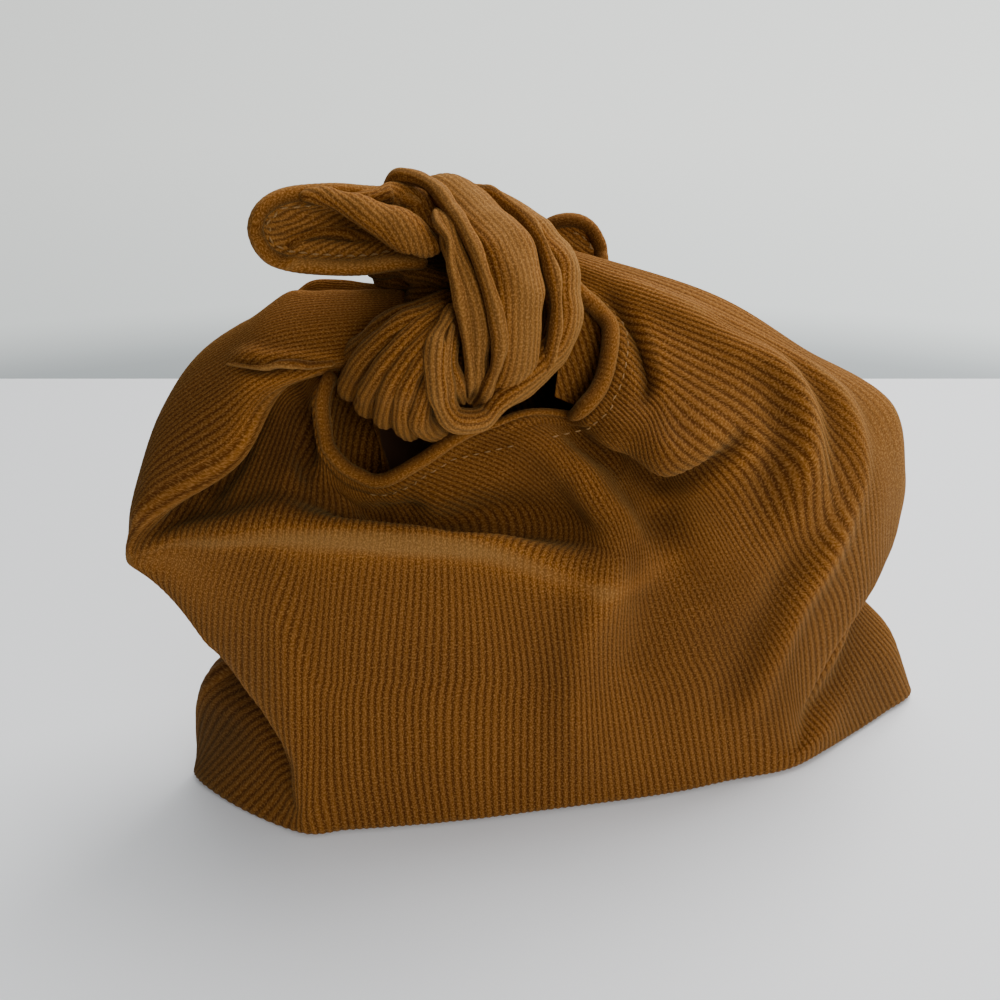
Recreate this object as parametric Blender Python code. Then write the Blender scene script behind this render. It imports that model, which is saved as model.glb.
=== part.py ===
"""Knot bag in corduroy: a soft pouch whose two horns are tied over its mouth.

Sizes are millimetres in the bag's own frame: x to the right along the front, y away from the
front, z up, with the middle of the base at zero. Each row of a table is one section of cloth.
"""
import math

import bmesh
import bpy
import numpy as np

MM = 0.001                # metres in a millimetre
CLOTH = 2.2               # corduroy with its backing
ROLLED_HEM = 3.0          # the free ends, two layers with a rolled hem
LINING = 1.2              # plain lining cloth
MIDDLE = (-6.167, -0.742, 0)  # the middle of the whole box's underside, moved to the origin
SHARP_DEG = 60            # edges sharper than this are shaded sharp

COLUMNS_PER_WALE = 2      # mesh columns between two rows of the table
ROWS_UP = 19              # mesh rows from the foot to the hem, two to a place of the table
RINGS_PER_BEND = 2        # rings along a strand between two rows of its table
STRAND_SIDES = 18         # corners of a strand's section
PLEAT = 0.3               # depth of a pleat, as a part of the strand's half thickness
STRAND_TIP = 0.35         # how far a strand's rounded end stands out, as a part of its radius
TIP_RING = 0.6            # size of the last ring of a rounded end
LINING_SIDES = 28         # corners of the lining's section
LINING_ROWS = 7           # rows up the lining
LINING_SQUARENESS = 0.6   # power of the rounded oblong: 1 is an ellipse, 0 a rectangle
END_STEPS = 12            # rows along a free end
END_WIDTHS = 9            # points across a free end

# One row a wale of the corduroy, from the foot on the table up to the hem or the neck.
# foot: edge of the base. ear: lower corner's ridge. tuck: the pinch over it. edge: the fold over
# the tuck. front: middle of the wall. ridge: top of the wall. shelf: the cloth going in.
# gully: its low. lip: under the hem. end: the hem, or the neck where the knot takes the horn.
PLACES = ("foot", "ear", "tuck", "edge", "front", "ridge", "shelf", "gully", "lip", "end")
WALES = (
    # front panel, left to right
    dict(foot=(-111, 4, 0), ear=(-110, -2, 28), tuck=(-92, -8, 48), edge=(-120, -9, 70),
         ridge=(-123, -8, 78), shelf=(-115, -11, 90), gully=(-93, -15, 105), lip=(-79, -8, 122),
         end=(-66, -4, 125)),
    dict(foot=(-113, 0, 0), ear=(-98, -13, 24), tuck=(-89, -14, 36), edge=(-114, -12, 63),
         ridge=(-110, -14, 82), shelf=(-106, -10, 90), gully=(-95, -8, 106), lip=(-80, -5, 122),
         end=(-66, -2, 124)),
    dict(foot=(-99, -15, 0), ear=(-91, -22, 13), tuck=(-87, -22, 22), edge=(-103, -17, 48),
         ridge=(-99, -21, 85), shelf=(-94, -17, 95), gully=(-86, -10, 110), lip=(-78, -6, 121),
         end=(-67, -3, 123)),
    dict(foot=(-84, -31, 0), ear=(-84, -31, 5), tuck=(-85, -30, 12), edge=(-86, -30, 38),
         ridge=(-87, -26, 88), shelf=(-83, -20, 99), gully=(-79, -13, 112), lip=(-75, -8, 119),
         end=(-67, -5, 122)),
    dict(foot=(-73, -31, 0), front=(-76, -31, 48), ridge=(-78, -29, 88), shelf=(-77, -20, 97),
         gully=(-75, -11, 107), lip=(-73, -9, 116), end=(-68, -7, 121)),
    dict(foot=(-62, -31, 0), front=(-66, -32, 48), ridge=(-70, -31, 88), shelf=(-70, -19, 93),
         gully=(-72, -12, 101), lip=(-71, -12, 110), end=(-69, -9, 119)),
    dict(foot=(-48, -31, 0), front=(-52, -33, 46), ridge=(-57, -33, 87), shelf=(-57, -20, 89),
         gully=(-59, -15, 89), lip=(-61, -18, 93), end=(-62, -15, 97)),
    dict(foot=(-34, -31, 0), front=(-36, -34, 45), ridge=(-43, -34, 85), shelf=(-42, -21, 86),
         gully=(-43, -16, 86), lip=(-47, -19, 91), end=(-49, -15, 96)),
    dict(foot=(-20, -31, 0), front=(-21, -34, 42), ridge=(-29, -35, 81), shelf=(-21, -24, 84),
         gully=(-22, -18, 88), lip=(-30, -19, 97), end=(-37, -16, 104)),
    dict(foot=(-6, -31, 0), front=(-8, -36, 40), ridge=(-12, -37, 76), shelf=(-7, -30, 82),
         gully=(-8, -23, 89), lip=(-17, -20, 102), end=(-25, -16, 111)),
    dict(foot=(8, -31, 0), front=(2, -37, 42), ridge=(2, -38, 72), shelf=(2, -35, 82),
         gully=(-2, -27, 92), lip=(-9, -20, 104), end=(-13, -15, 113)),
    dict(foot=(24, -31, 0), front=(16, -34, 42), ridge=(12, -36, 74), shelf=(10, -31, 85),
         gully=(6, -24, 96), lip=(-1, -17, 105), end=(-4, -12, 112)),
    dict(foot=(40, -31, 0), front=(32, -34, 44), ridge=(24, -36, 78), shelf=(18, -28, 92),
         gully=(8, -24, 101), lip=(1, -25, 105), end=(1, -20, 110)),
    dict(foot=(58, -31, 0), ear=(58, -31, 5), tuck=(57, -31, 11), front=(47, -35, 46),
         ridge=(36, -34, 76), shelf=(24, -27, 95), gully=(13, -32, 101), lip=(9, -26, 110),
         end=(8, -19, 119)),
    dict(foot=(72, -24, 0), ear=(70, -26, 9), tuck=(66, -25, 15), edge=(62, -30, 24),
         front=(57, -32, 50), ridge=(48, -31, 76), shelf=(37, -27, 96), gully=(20, -29, 109),
         lip=(12, -22, 120), end=(8, -12, 131)),
    dict(foot=(86, -17, 0), ear=(81, -20, 13), tuck=(76, -18, 23), edge=(75, -24, 37),
         front=(71, -26, 55), ridge=(60, -29, 78), shelf=(56, -25, 98), gully=(40, -22, 112),
         lip=(22, -17, 127), end=(0, -8, 139)),
    dict(foot=(99, -9, 0), ear=(91, -13, 18), tuck=(83, -11, 33), edge=(85, -17, 47),
         front=(81, -20, 64), ridge=(76, -20, 84), shelf=(67, -18, 102), gully=(50, -15, 119),
         lip=(28, -12, 133), end=(-5, -7, 144)),
    dict(foot=(112, 0, 0), ear=(103, -6, 20), tuck=(87, -4, 40), edge=(93, -9, 52),
         front=(92, -11, 66), ridge=(88, -12, 85), shelf=(78, -10, 104), gully=(58, -8, 121),
         lip=(32, -7, 136), end=(-7, -4, 147)),
    # back panel, right to left
    dict(foot=(107, 7, 0), ear=(107, 1, 24), tuck=(91, 2, 41), edge=(98, -1, 54),
         front=(101, -1, 66), ridge=(101, 0, 80), shelf=(94, 1, 100), gully=(66, 0, 120),
         lip=(34, 0, 138), end=(-8, 0, 149)),
    dict(foot=(96, 15, 0), ear=(97, 11, 22), tuck=(88, 9, 40), edge=(95, 9, 55),
         front=(98, 9, 68), ridge=(96, 11, 84), shelf=(84, 9, 106), gully=(60, 7, 122),
         lip=(32, 4, 138), end=(-8, 4, 148)),
    dict(foot=(82, 26, 0), ear=(85, 22, 18), tuck=(82, 18, 34), edge=(88, 19, 52),
         front=(89, 20, 66), ridge=(84, 21, 86), shelf=(72, 15, 108), gully=(52, 12, 122),
         lip=(27, 8, 136), end=(-9, 7, 144)),
    dict(foot=(64, 31, 0), front=(72, 30, 48), ridge=(66, 28, 88), shelf=(54, 22, 108),
         gully=(40, 17, 119), lip=(20, 11, 131), end=(-10, 7, 138)),
    dict(foot=(46, 31, 0), front=(50, 35, 46), ridge=(44, 34, 86), shelf=(34, 24, 105),
         gully=(25, 18, 113), lip=(12, 12, 123), end=(-11, 6, 130)),
    dict(foot=(27, 31, 0), front=(26, 36, 44), ridge=(20, 35, 84), shelf=(14, 24, 100),
         gully=(9, 20, 107), lip=(0, 14, 114), end=(-13, 8, 120)),
    dict(foot=(8, 31, 0), front=(5, 36, 44), ridge=(-2, 35, 84), shelf=(-6, 25, 97),
         gully=(-9, 21, 104), lip=(-13, 21, 111), end=(-17, 18, 118)),
    dict(foot=(-11, 31, 0), front=(-16, 36, 44), ridge=(-24, 34, 86), shelf=(-28, 26, 99),
         gully=(-31, 22, 105), lip=(-33, 21, 112), end=(-36, 18, 119)),
    dict(foot=(-29, 31, 0), front=(-37, 35, 46), ridge=(-46, 33, 89), shelf=(-50, 25, 105),
         gully=(-53, 20, 112), lip=(-55, 18, 119), end=(-58, 14, 126)),
    dict(foot=(-46, 31, 0), front=(-58, 34, 48), ridge=(-68, 29, 92), shelf=(-70, 20, 115),
         gully=(-68, 14, 126), lip=(-65, 12, 133), end=(-61, 11, 136)),
    dict(foot=(-62, 29, 0), ear=(-69, 29, 18), tuck=(-76, 26, 38), edge=(-86, 25, 56),
         ridge=(-90, 22, 92), shelf=(-86, 13, 122), gully=(-76, 8, 140), lip=(-68, 7, 145),
         end=(-60, 7, 142)),
    dict(foot=(-76, 23, 0), ear=(-86, 22, 20), tuck=(-86, 16, 42), edge=(-103, 16, 60),
         ridge=(-107, 13, 92), shelf=(-99, 5, 125), gully=(-86, 0, 138), lip=(-74, 0, 143),
         end=(-60, 0, 144)),
    dict(foot=(-89, 17, 0), ear=(-98, 16, 24), tuck=(-89, 9, 46), edge=(-112, 7, 63),
         ridge=(-116, 5, 92), shelf=(-108, -2, 116), gully=(-92, -7, 131), lip=(-78, -8, 137),
         end=(-62, -7, 139)),
    dict(foot=(-99, 12, 0), ear=(-105, 9, 30), tuck=(-91, 1, 50), edge=(-117, -1, 67),
         ridge=(-121, -2, 88), shelf=(-114, -7, 106), gully=(-96, -13, 121), lip=(-81, -14, 129),
         end=(-63, -12, 132)),
    dict(foot=(-106, 8, 0), ear=(-108, 3, 32), tuck=(-92, -4, 50), edge=(-119, -6, 69),
         ridge=(-123, -6, 81), shelf=(-116, -10, 96), gully=(-95, -17, 110), lip=(-82, -13, 123),
         end=(-63, -9, 125)),
)

# The plain lining hangs free inside: a row a level, with its half-sizes about its own middle.
LINING_LEVELS = (
    dict(height=2.6, middle=(-8, 0), half_width=64, half_depth=25),
    dict(height=18, middle=(-8, 0), half_width=67, half_depth=26),
    dict(height=50, middle=(-10, 1), half_width=66, half_depth=27),
    dict(height=72, middle=(-14, 1), half_width=62, half_depth=26),
    dict(height=83, middle=(-18, 4), half_width=54, half_depth=17),
)

# The knot: a row a bend of each strand, with the strand's size across and through it there.
KNOT_MIDDLE = (-33, -2, 141)
STRANDS = {
    "knot": dict(pleats=3, rows=(
        # out of the middle, down over the left neck and round it, then over the top and down
        dict(at=(-36, -14, 146), across=12, through=9),
        dict(at=(-44, -22, 139), across=19, through=9),
        dict(at=(-54, -22, 127), across=28, through=9),
        dict(at=(-53, -11, 113), across=24, through=8),
        dict(at=(-48, 2, 109), across=18, through=7),
        dict(at=(-45, 8, 122), across=15, through=7),
        dict(at=(-43, 13, 146), across=15, through=9),
        dict(at=(-44, 6, 164), across=15, through=9),
        dict(at=(-35, -6, 168), across=20, through=10),
        dict(at=(-25, -18, 158), across=25, through=11),
        dict(at=(-22, -25, 143), across=27, through=11),
        dict(at=(-25, -25, 127), across=22, through=10),
        dict(at=(-31, -18, 114), across=14, through=8))),
    "right_roll": dict(pleats=2, rows=(
        dict(at=(-22, 10, 160), across=12, through=9),
        dict(at=(-14, -2, 160), across=14, through=11),
        dict(at=(-9, -13, 150), across=16, through=12),
        dict(at=(-8, -18, 137), across=15, through=11),
        dict(at=(-12, -22, 125), across=12, through=9),
        dict(at=(-19, -26, 116), across=9, through=8),
        dict(at=(-30, -28, 112), across=9, through=8),
        dict(at=(-40, -29, 116), across=9, through=8),
        dict(at=(-44, -29, 127), across=10, through=8),
        dict(at=(-41, -26, 139), across=9, through=8),
        dict(at=(-36, -17, 148), across=7, through=6))),
    "lower_roll": dict(pleats=1, rows=(
        dict(at=(-56, 2, 155), across=9, through=8),
        dict(at=(-50, -6, 152), across=12, through=9),
        dict(at=(-40, -10, 149), across=12, through=10),
        dict(at=(-32, -8, 146), across=10, through=8))),
    "left_root": dict(pleats=1, rows=(
        dict(at=(-34, -3, 150), across=12, through=8),
        dict(at=(-38, -9, 155), across=13, through=8),
        dict(at=(-42, -13, 158), across=12, through=7))),
    "right_root": dict(pleats=1, rows=(
        dict(at=(-28, 4, 150), across=12, through=8),
        dict(at=(-20, 10, 154), across=13, through=8),
        dict(at=(-12, 13, 155), across=11, through=7))),
    "heart": dict(pleats=0, rows=(
        dict(at=(-54, 3, 138), across=16, through=16),
        dict(at=(-41, 0, 139), across=29, through=29),
        dict(at=(-30, -2, 140), across=34, through=34),
        dict(at=(-19, -4, 139), across=24, through=24))),
}

# The two free ends, leaf-shaped and cupped: a row a section, from the knot to the tip.
# side: half across, to the leaf's upper edge. cup: how far its edges stand up over its middle.
LEFT_END = (
    dict(at=(-46, -15, 159), side=(0, 2, 6), cup=(0, -3, 1)),
    dict(at=(-54, -13, 160), side=(0, 2, 9), cup=(0, -6, 2)),
    dict(at=(-64, -10, 161), side=(0, 3, 10), cup=(0, -7, 2)),
    dict(at=(-73, -9, 161), side=(0, 3, 9), cup=(0, -6, 2)),
    dict(at=(-79, -8, 161), side=(0, 2, 7), cup=(-2, -4, 1)),
    dict(at=(-83, -8, 160), side=(0, 1, 3), cup=(-1, -1, 0)),
)
RIGHT_END = (
    dict(at=(-8, 14, 155), side=(-1, -2, 4), cup=(0, -2, 1)),
    dict(at=(-2, 15, 156), side=(0, -3, 5), cup=(1, -3, 1)),
    dict(at=(4, 14, 154), side=(1, -3, 5), cup=(1, -3, 1)),
    dict(at=(8, 13, 152), side=(0, -1, 3), cup=(1, -1, 0)),
)


def spline(points, steps):
    """The Catmull-Rom curve through the points, read at each step, whole numbers being points."""
    points = np.asarray(points, float)
    before = np.vstack([2 * points[0] - points[1], points, 2 * points[-1] - points[-2]])
    base = np.clip(np.floor(steps).astype(int), 0, len(points) - 2)
    t = (np.asarray(steps, float) - base)[:, None]
    p0, p1, p2, p3 = (before[base + i] for i in range(4))
    return 0.5 * (2 * p1 + (p2 - p0) * t + (2 * p0 - 5 * p1 + 4 * p2 - p3) * t ** 2
                  + (3 * p1 - p0 - 3 * p2 + p3) * t ** 3)


def wale_curve(wale, rows):
    """One wale from its foot (0) to its end, at the given rows in places of PLACES."""
    known = [index for index, place in enumerate(PLACES) if place in wale]
    steps = np.interp(rows, known, range(len(known)))
    return spline([wale[PLACES[index]] for index in known], steps)


def bag_surface():
    """The cloth's outer face as a grid: rows up from the foot, columns once around the bag."""
    rows = np.linspace(0, len(PLACES) - 1, ROWS_UP)
    wales = np.stack([wale_curve(wale, rows) for wale in WALES], 1)
    count = len(WALES)
    around = np.arange(count * COLUMNS_PER_WALE) / COLUMNS_PER_WALE
    looped = np.concatenate([wales[:, -2:], wales, wales[:, :3]], 1)
    grid = np.stack([spline(row, around + 2) for row in looped])
    grid[0, :, 2] = 0
    return grid


def grid_normals(grid):
    """Unit normals that point out of the bag."""
    around = np.roll(grid, -1, 1) - np.roll(grid, 1, 1)
    upward = np.gradient(grid, axis=0)
    normals = np.cross(around, upward)
    return normals / np.linalg.norm(normals, axis=2, keepdims=True)


def mesh_object(name, points, faces, material):
    """A named object from points in millimetres, shaded smooth and moved over the origin."""
    mesh = bpy.data.meshes.new(name)
    mesh.from_pydata((np.subtract(points, MIDDLE) * MM).tolist(), [], faces)
    mesh.update()
    mesh.shade_smooth()
    mesh.set_sharp_from_angle(angle=math.radians(SHARP_DEG))
    mesh.materials.append(material)
    thing = bpy.data.objects.new(name, mesh)
    bpy.context.scene.collection.objects.link(thing)
    return thing


def cloth_material(name, color, roughness):
    """A matt cloth of one colour."""
    material = bpy.data.materials.new(name)
    material.use_nodes = True
    shader = material.node_tree.nodes["Principled BSDF"]
    shader.inputs["Base Color"].default_value = (*color, 1)
    shader.inputs["Roughness"].default_value = roughness
    shader.inputs["Metallic"].default_value = 0
    material.diffuse_color = (*color, 1)
    return material


def open_shell(outer, inner):
    """Points and faces of a pot with a flat floor: outer and inner grids joined at the rim."""
    rows, columns = outer.shape[:2]
    points = np.concatenate([outer.reshape(-1, 3), inner.reshape(-1, 3)])
    inside = rows * columns
    faces = []
    for row in range(rows - 1):
        for column in range(columns):
            here = row * columns + column
            side = row * columns + (column + 1) % columns
            faces.append((here, side, side + columns, here + columns))
            faces.append((inside + here, inside + here + columns,
                          inside + side + columns, inside + side))
    top = (rows - 1) * columns
    for column in range(columns):
        here = top + column
        side = top + (column + 1) % columns
        faces.append((here, side, inside + side, inside + here))
    faces.append(tuple(reversed(range(columns))))
    faces.append(tuple(range(inside, inside + columns)))
    return points, faces


def make_bag(material):
    """The corduroy pouch: front, base and back in one cloth, with the roots of its two horns."""
    outer = bag_surface()
    inner = outer - grid_normals(outer) * CLOTH
    inner[0, :, 2] = CLOTH
    return mesh_object("bag_cloth", *open_shell(outer, inner), material)


def make_lining(material):
    """The plain lining, a free-hanging pocket a little inside the corduroy."""
    angle = np.arange(LINING_SIDES) * 2 * math.pi / LINING_SIDES
    across = np.sign(np.cos(angle)) * np.abs(np.cos(angle)) ** LINING_SQUARENESS
    away = np.sign(np.sin(angle)) * np.abs(np.sin(angle)) ** LINING_SQUARENESS
    table = np.array([(level["middle"][0], level["middle"][1], level["height"],
                       level["half_width"], level["half_depth"]) for level in LINING_LEVELS])
    levels = spline(table, np.linspace(0, len(table) - 1, LINING_ROWS))

    def pocket(inset, floor):
        rings = []
        for middle_x, middle_y, height, half_width, half_depth in levels:
            ring = np.stack([middle_x + (half_width - inset) * across,
                             middle_y + (half_depth - inset) * away,
                             np.full(LINING_SIDES, height)], 1)
            rings.append(ring)
        rings[0][:, 2] += floor
        return np.stack(rings)

    return mesh_object("lining", *open_shell(pocket(0, 0), pocket(LINING, LINING)), material)


def unit(vectors):
    """The vectors at length one."""
    return vectors / np.linalg.norm(vectors, axis=-1, keepdims=True)


def strand_rings(strand):
    """The rings of one strand: its sections stand flat on the knot's middle, with pleats."""
    table = np.array([(*row["at"], row["across"], row["through"]) for row in strand["rows"]])
    steps = np.linspace(0, len(table) - 1, (len(table) - 1) * RINGS_PER_BEND + 1)
    rows = spline(table, steps)
    centre, across, through = rows[:, :3], rows[:, 3], rows[:, 4]
    along = unit(np.gradient(centre, axis=0))
    outward = centre - KNOT_MIDDLE
    outward = unit(outward - along * (outward * along).sum(1, keepdims=True))
    sideways = np.cross(outward, along)
    angle = np.arange(STRAND_SIDES) * 2 * math.pi / STRAND_SIDES
    groove = 1 - np.abs(np.sin(strand["pleats"] * math.pi * (np.cos(angle) + 1) / 2))
    lift = np.sin(angle) * (1 - PLEAT * groove * (strand["pleats"] > 0))
    side = np.cos(angle)
    return (centre[:, None] + sideways[:, None] * (across[:, None] / 2 * side)[..., None]
            + outward[:, None] * (through[:, None] / 2 * lift)[..., None])


def tube(rings):
    """Points and faces of a closed tube with a rounded end past its first and last ring."""
    first, last = rings[0].mean(0), rings[-1].mean(0)
    lead = STRAND_TIP * np.linalg.norm(rings[0] - first, axis=1).mean()
    start = unit(first - rings[1].mean(0)) * lead
    finish = unit(last - rings[-2].mean(0)) * lead
    rings = np.concatenate([[(rings[0] - first) * TIP_RING + first + start], rings,
                            [(rings[-1] - last) * TIP_RING + last + finish]])
    count, sides = rings.shape[:2]
    faces = []
    for ring in range(count - 1):
        for side in range(sides):
            here = ring * sides + side
            after = ring * sides + (side + 1) % sides
            faces.append((here, here + sides, after + sides, after))
    faces.append(tuple(range(sides)))
    faces.append(tuple(reversed(range((count - 1) * sides, count * sides))))
    return rings.reshape(-1, 3), faces


def outward_facing(thing):
    """Turn a closed object's faces so that they all point out."""
    mesh = bmesh.new()
    mesh.from_mesh(thing.data)
    bmesh.ops.recalc_face_normals(mesh, faces=mesh.faces)
    mesh.to_mesh(thing.data)
    mesh.free()


def make_knot(material):
    """The tied horns: each strand is a pleated tube, and they are joined where they press."""
    whole = None
    for name, strand in STRANDS.items():
        piece = mesh_object(name, *tube(strand_rings(strand)), material)
        outward_facing(piece)
        if whole is None:
            whole = piece
            continue
        piece.hide_render = True
        piece.display_type = "WIRE"
        join = whole.modifiers.new("join_" + name, "BOOLEAN")
        join.operation = "UNION"
        join.solver = "EXACT"
        join.object = piece
    return whole


def make_end(name, table, material):
    """A free end of a horn: a cupped leaf of hemmed cloth, closed all round."""
    table = np.array([(*row["at"], *row["side"], *row["cup"]) for row in table])
    rows = spline(table, np.linspace(0, len(table) - 1, END_STEPS))
    centre, side, cup = rows[:, :3], rows[:, 3:6], rows[:, 6:9]
    across = np.linspace(-1, 1, END_WIDTHS)
    sheet = (centre[:, None] + side[:, None] * across[None, :, None]
             + cup[:, None] * (across ** 2)[None, :, None])
    normals = unit(np.cross(np.gradient(sheet, axis=0), np.gradient(sheet, axis=1)))
    faces_up = sheet + normals * ROLLED_HEM / 2
    faces_down = sheet - normals * ROLLED_HEM / 2
    ring = np.concatenate([faces_up, faces_down[:, ::-1]], 1)
    sides = ring.shape[1]
    faces = []
    for row in range(END_STEPS - 1):
        for corner in range(sides):
            here = row * sides + corner
            after = row * sides + (corner + 1) % sides
            faces.append((here, here + sides, after + sides, after))
    for row, flip in ((0, False), (END_STEPS - 1, True)):
        for corner in range(END_WIDTHS - 1):
            near = row * sides + corner
            far = row * sides + sides - 1 - corner
            quad = (near, near + 1, far - 1, far)
            faces.append(tuple(reversed(quad)) if flip else quad)
    thing = mesh_object(name, ring.reshape(-1, 3), faces, material)
    outward_facing(thing)
    return thing


def main():
    for thing in list(bpy.data.objects):
        bpy.data.objects.remove(thing, do_unlink=True)
    corduroy = cloth_material("corduroy", (0.22, 0.08, 0.008), 0.9)
    plain = cloth_material("lining_cloth", (0.06, 0.022, 0.006), 0.8)
    make_bag(corduroy)
    make_lining(plain)
    make_knot(corduroy)
    make_end("left_end", LEFT_END, corduroy)
    make_end("right_end", RIGHT_END, corduroy)


main()
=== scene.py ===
"""Knot bag in corduroy, with its horns tied over the mouth.

Sizes are millimetres in the bag's own frame: x to the right along the front, y away from the
front, z up, with the middle of the base at zero. `placed` moves them into the CAD model's frame.
"""

import math

import bpy
import numpy as np
from mathutils import Euler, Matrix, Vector, noise


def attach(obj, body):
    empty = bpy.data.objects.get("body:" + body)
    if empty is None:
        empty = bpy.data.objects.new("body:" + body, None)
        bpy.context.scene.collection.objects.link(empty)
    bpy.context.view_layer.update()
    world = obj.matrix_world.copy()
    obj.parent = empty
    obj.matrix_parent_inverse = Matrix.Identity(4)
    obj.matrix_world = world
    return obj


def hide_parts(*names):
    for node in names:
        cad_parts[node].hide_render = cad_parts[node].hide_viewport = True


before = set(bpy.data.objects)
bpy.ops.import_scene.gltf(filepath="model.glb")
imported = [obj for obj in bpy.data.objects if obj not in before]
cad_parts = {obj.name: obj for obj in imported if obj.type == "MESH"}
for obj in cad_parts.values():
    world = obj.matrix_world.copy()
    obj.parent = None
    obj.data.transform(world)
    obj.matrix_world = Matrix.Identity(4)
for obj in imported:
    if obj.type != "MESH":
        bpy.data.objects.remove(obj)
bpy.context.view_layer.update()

MM = 0.001  # metres in a millimetre
MIDDLE = (-6.167, -0.742, 0)  # middle of the whole box's underside, which is the CAD's origin

RIB = 2.0  # from one rib of the corduroy to the next
RIB_HEIGHT = 0.22  # how far a rib stands over the groove beside it
RIB_MEAN = 0.6  # the ribbing's mean height, as a share of that
GIRTH = 502  # round the bag along the cloth

# ---------------------------------------------------------------- camera, light and floor

CAMERA_AT = (-82.0, -299.9, 224.0)
CAMERA_PITCH_DEG = 25.0
CAMERA_YAW_DEG = 11.19
LENS_MM = 43.2
FLOOR_HALF = 334  # half of the square floor's side
FLOOR_COLOR = (0.84, 0.855, 0.885, 1)
FLOOR_GLOW = 0.08  # the table is flooded with light
# The surroundings' colours, from straight down (0) to straight up (1), and how bright they are
# from the left (0) to the right (1). They are brighter on the far side, and dim behind the camera.
WALL_COLORS = ((0.0, 0.42, 0.45, 0.46), (0.336, 0.25, 0.275, 0.28), (0.349, 0.31, 0.335, 0.34),
               (0.366, 0.58, 0.61, 0.60), (0.43, 0.66, 0.68, 0.655), (0.5, 0.64, 0.66, 0.64),
               (0.62, 0.66, 0.68, 0.67), (1.0, 1.0, 1.0, 0.99))
WALL_SHARES = ((0.28, 0.10, 0.10, 0.10), (0.38, 0.62, 0.62, 0.62), (0.80, 1.0, 1.0, 1.0))
FAR_SIDE = {"From Min": -0.1, "From Max": 0.6, "To Min": 0.8, "To Max": 2.6}


def placed(points):
    """Points of the bag's own frame, in metres in the CAD model's frame."""
    return (np.asarray(points, float) - MIDDLE) * MM


def add_camera():
    camera = bpy.data.objects.new("camera", bpy.data.cameras.new("camera"))
    bpy.context.scene.collection.objects.link(camera)
    camera.location = placed(CAMERA_AT)
    camera.rotation_euler = Euler((math.radians(90 - CAMERA_PITCH_DEG), 0,
                                   math.radians(-CAMERA_YAW_DEG)))
    camera.data.lens = LENS_MM
    camera.data.sensor_width = 36
    camera.data.clip_start = 0.01
    bpy.context.scene.camera = camera


def add_area_light(name, at, toward, size, watts, color):
    data = bpy.data.lights.new(name, "AREA")
    data.shape = "RECTANGLE"
    data.size, data.size_y = size
    data.energy = watts
    data.color = color
    light = bpy.data.objects.new(name, data)
    bpy.context.scene.collection.objects.link(light)
    light.location = at
    aim = Vector(toward) - Vector(at)
    light.rotation_euler = aim.to_track_quat("-Z", "Y").to_euler()


def shader_node(tree, kind, inputs=None, **settings):
    """A new node with its settings made, and its inputs set or linked."""
    node = tree.nodes.new("ShaderNode" + kind)
    for key, value in settings.items():
        setattr(node, key, value)
    for key, value in (inputs or {}).items():
        if isinstance(value, bpy.types.NodeSocket):
            tree.links.new(value, node.inputs[key])
        else:
            node.inputs[key].default_value = value
    return node


def ramp_color(tree, factor, stops):
    """The colour that the factor gives on a ramp of stops: place, red, green and blue."""
    node = shader_node(tree, "ValToRGB", {"Fac": factor})
    elements = node.color_ramp.elements
    for end, (position, *color) in zip(list(elements), (stops[0], stops[-1])):
        end.position, end.color = position, (*color, 1)
    for position, *color in stops[1:-1]:
        elements.new(position).color = (*color, 1)
    return node.outputs["Color"]


def add_surroundings():
    world = bpy.data.worlds.new("studio")
    bpy.context.scene.world = world
    world.use_nodes = True
    tree = world.node_tree
    aim = shader_node(tree, "TexCoord").outputs["Generated"]
    split = shader_node(tree, "SeparateXYZ", {0: aim})
    up, right = (shader_node(tree, "Math", {0: split.outputs[axis], 1: 0.5, 2: 0.5},
                             operation="MULTIPLY_ADD").outputs[0] for axis in "ZX")
    far = shader_node(tree, "MapRange", {"Value": split.outputs["Y"], **FAR_SIDE})
    share = shader_node(tree, "Math", {0: far.outputs["Result"],
                                       1: ramp_color(tree, right, WALL_SHARES)},
                        operation="MULTIPLY")
    background = tree.nodes["Background"]
    tree.links.new(ramp_color(tree, up, WALL_COLORS), background.inputs["Color"])
    tree.links.new(share.outputs[0], background.inputs["Strength"])

    yaw = math.radians(-CAMERA_YAW_DEG)
    across = np.array([math.cos(yaw), math.sin(yaw), 0]) * FLOOR_HALF * MM
    away = np.array([-math.sin(yaw), math.cos(yaw), 0]) * FLOOR_HALF * MM
    corners = [-across - away, across - away, across + away, -across + away]
    mesh = bpy.data.meshes.new("floor")
    mesh.from_pydata([tuple(corner) for corner in corners], [], [(0, 1, 2, 3)])
    floor = bpy.data.objects.new("floor", mesh)
    bpy.context.scene.collection.objects.link(floor)
    mesh.materials.append(new_material("floor", {
        "Base Color": FLOOR_COLOR, "Roughness": 0.55, "Emission Color": (0.92, 0.96, 1.0, 1),
        "Emission Strength": FLOOR_GLOW}))

    add_area_light("window", (0.45, 0.30, 0.90), (0, 0, 0.07), (0.7, 0.7), 11, (1, 0.985, 0.96))
    add_area_light("room", (0.25, -0.95, 0.40), (0, 0, 0.07), (0.7, 0.5), 4.0, (0.98, 0.99, 1))


# ---------------------------------------------------------------- materials

# The corduroy's colours, each from one patch of the cloth to another.
GROOVE_SHADE = ((0.070, 0.019, 0.0014), (0.084, 0.024, 0.0018))  # painted shade between the ribs
CROWN = ((0.146, 0.047, 0.0044), (0.170, 0.057, 0.0060))  # on the ribs
TIPS = (0.36, 0.165, 0.040)  # the pale ends of the pile
CREST_HIGHLIGHT = (0.23, 0.146, 0.052)  # a painted highlight, pale and grey, where the painted light runs highest over a crest
PATCHES_PER_M = 26
NAP_PER_MM = (2.2, 1.7, 1)  # the grain of the pile, across and along the ribs
FIBRES_PER_MM = (6.0, 9.0, 1)
WEAVE_PER_MM = 2.5  # threads of a plain cloth


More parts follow.
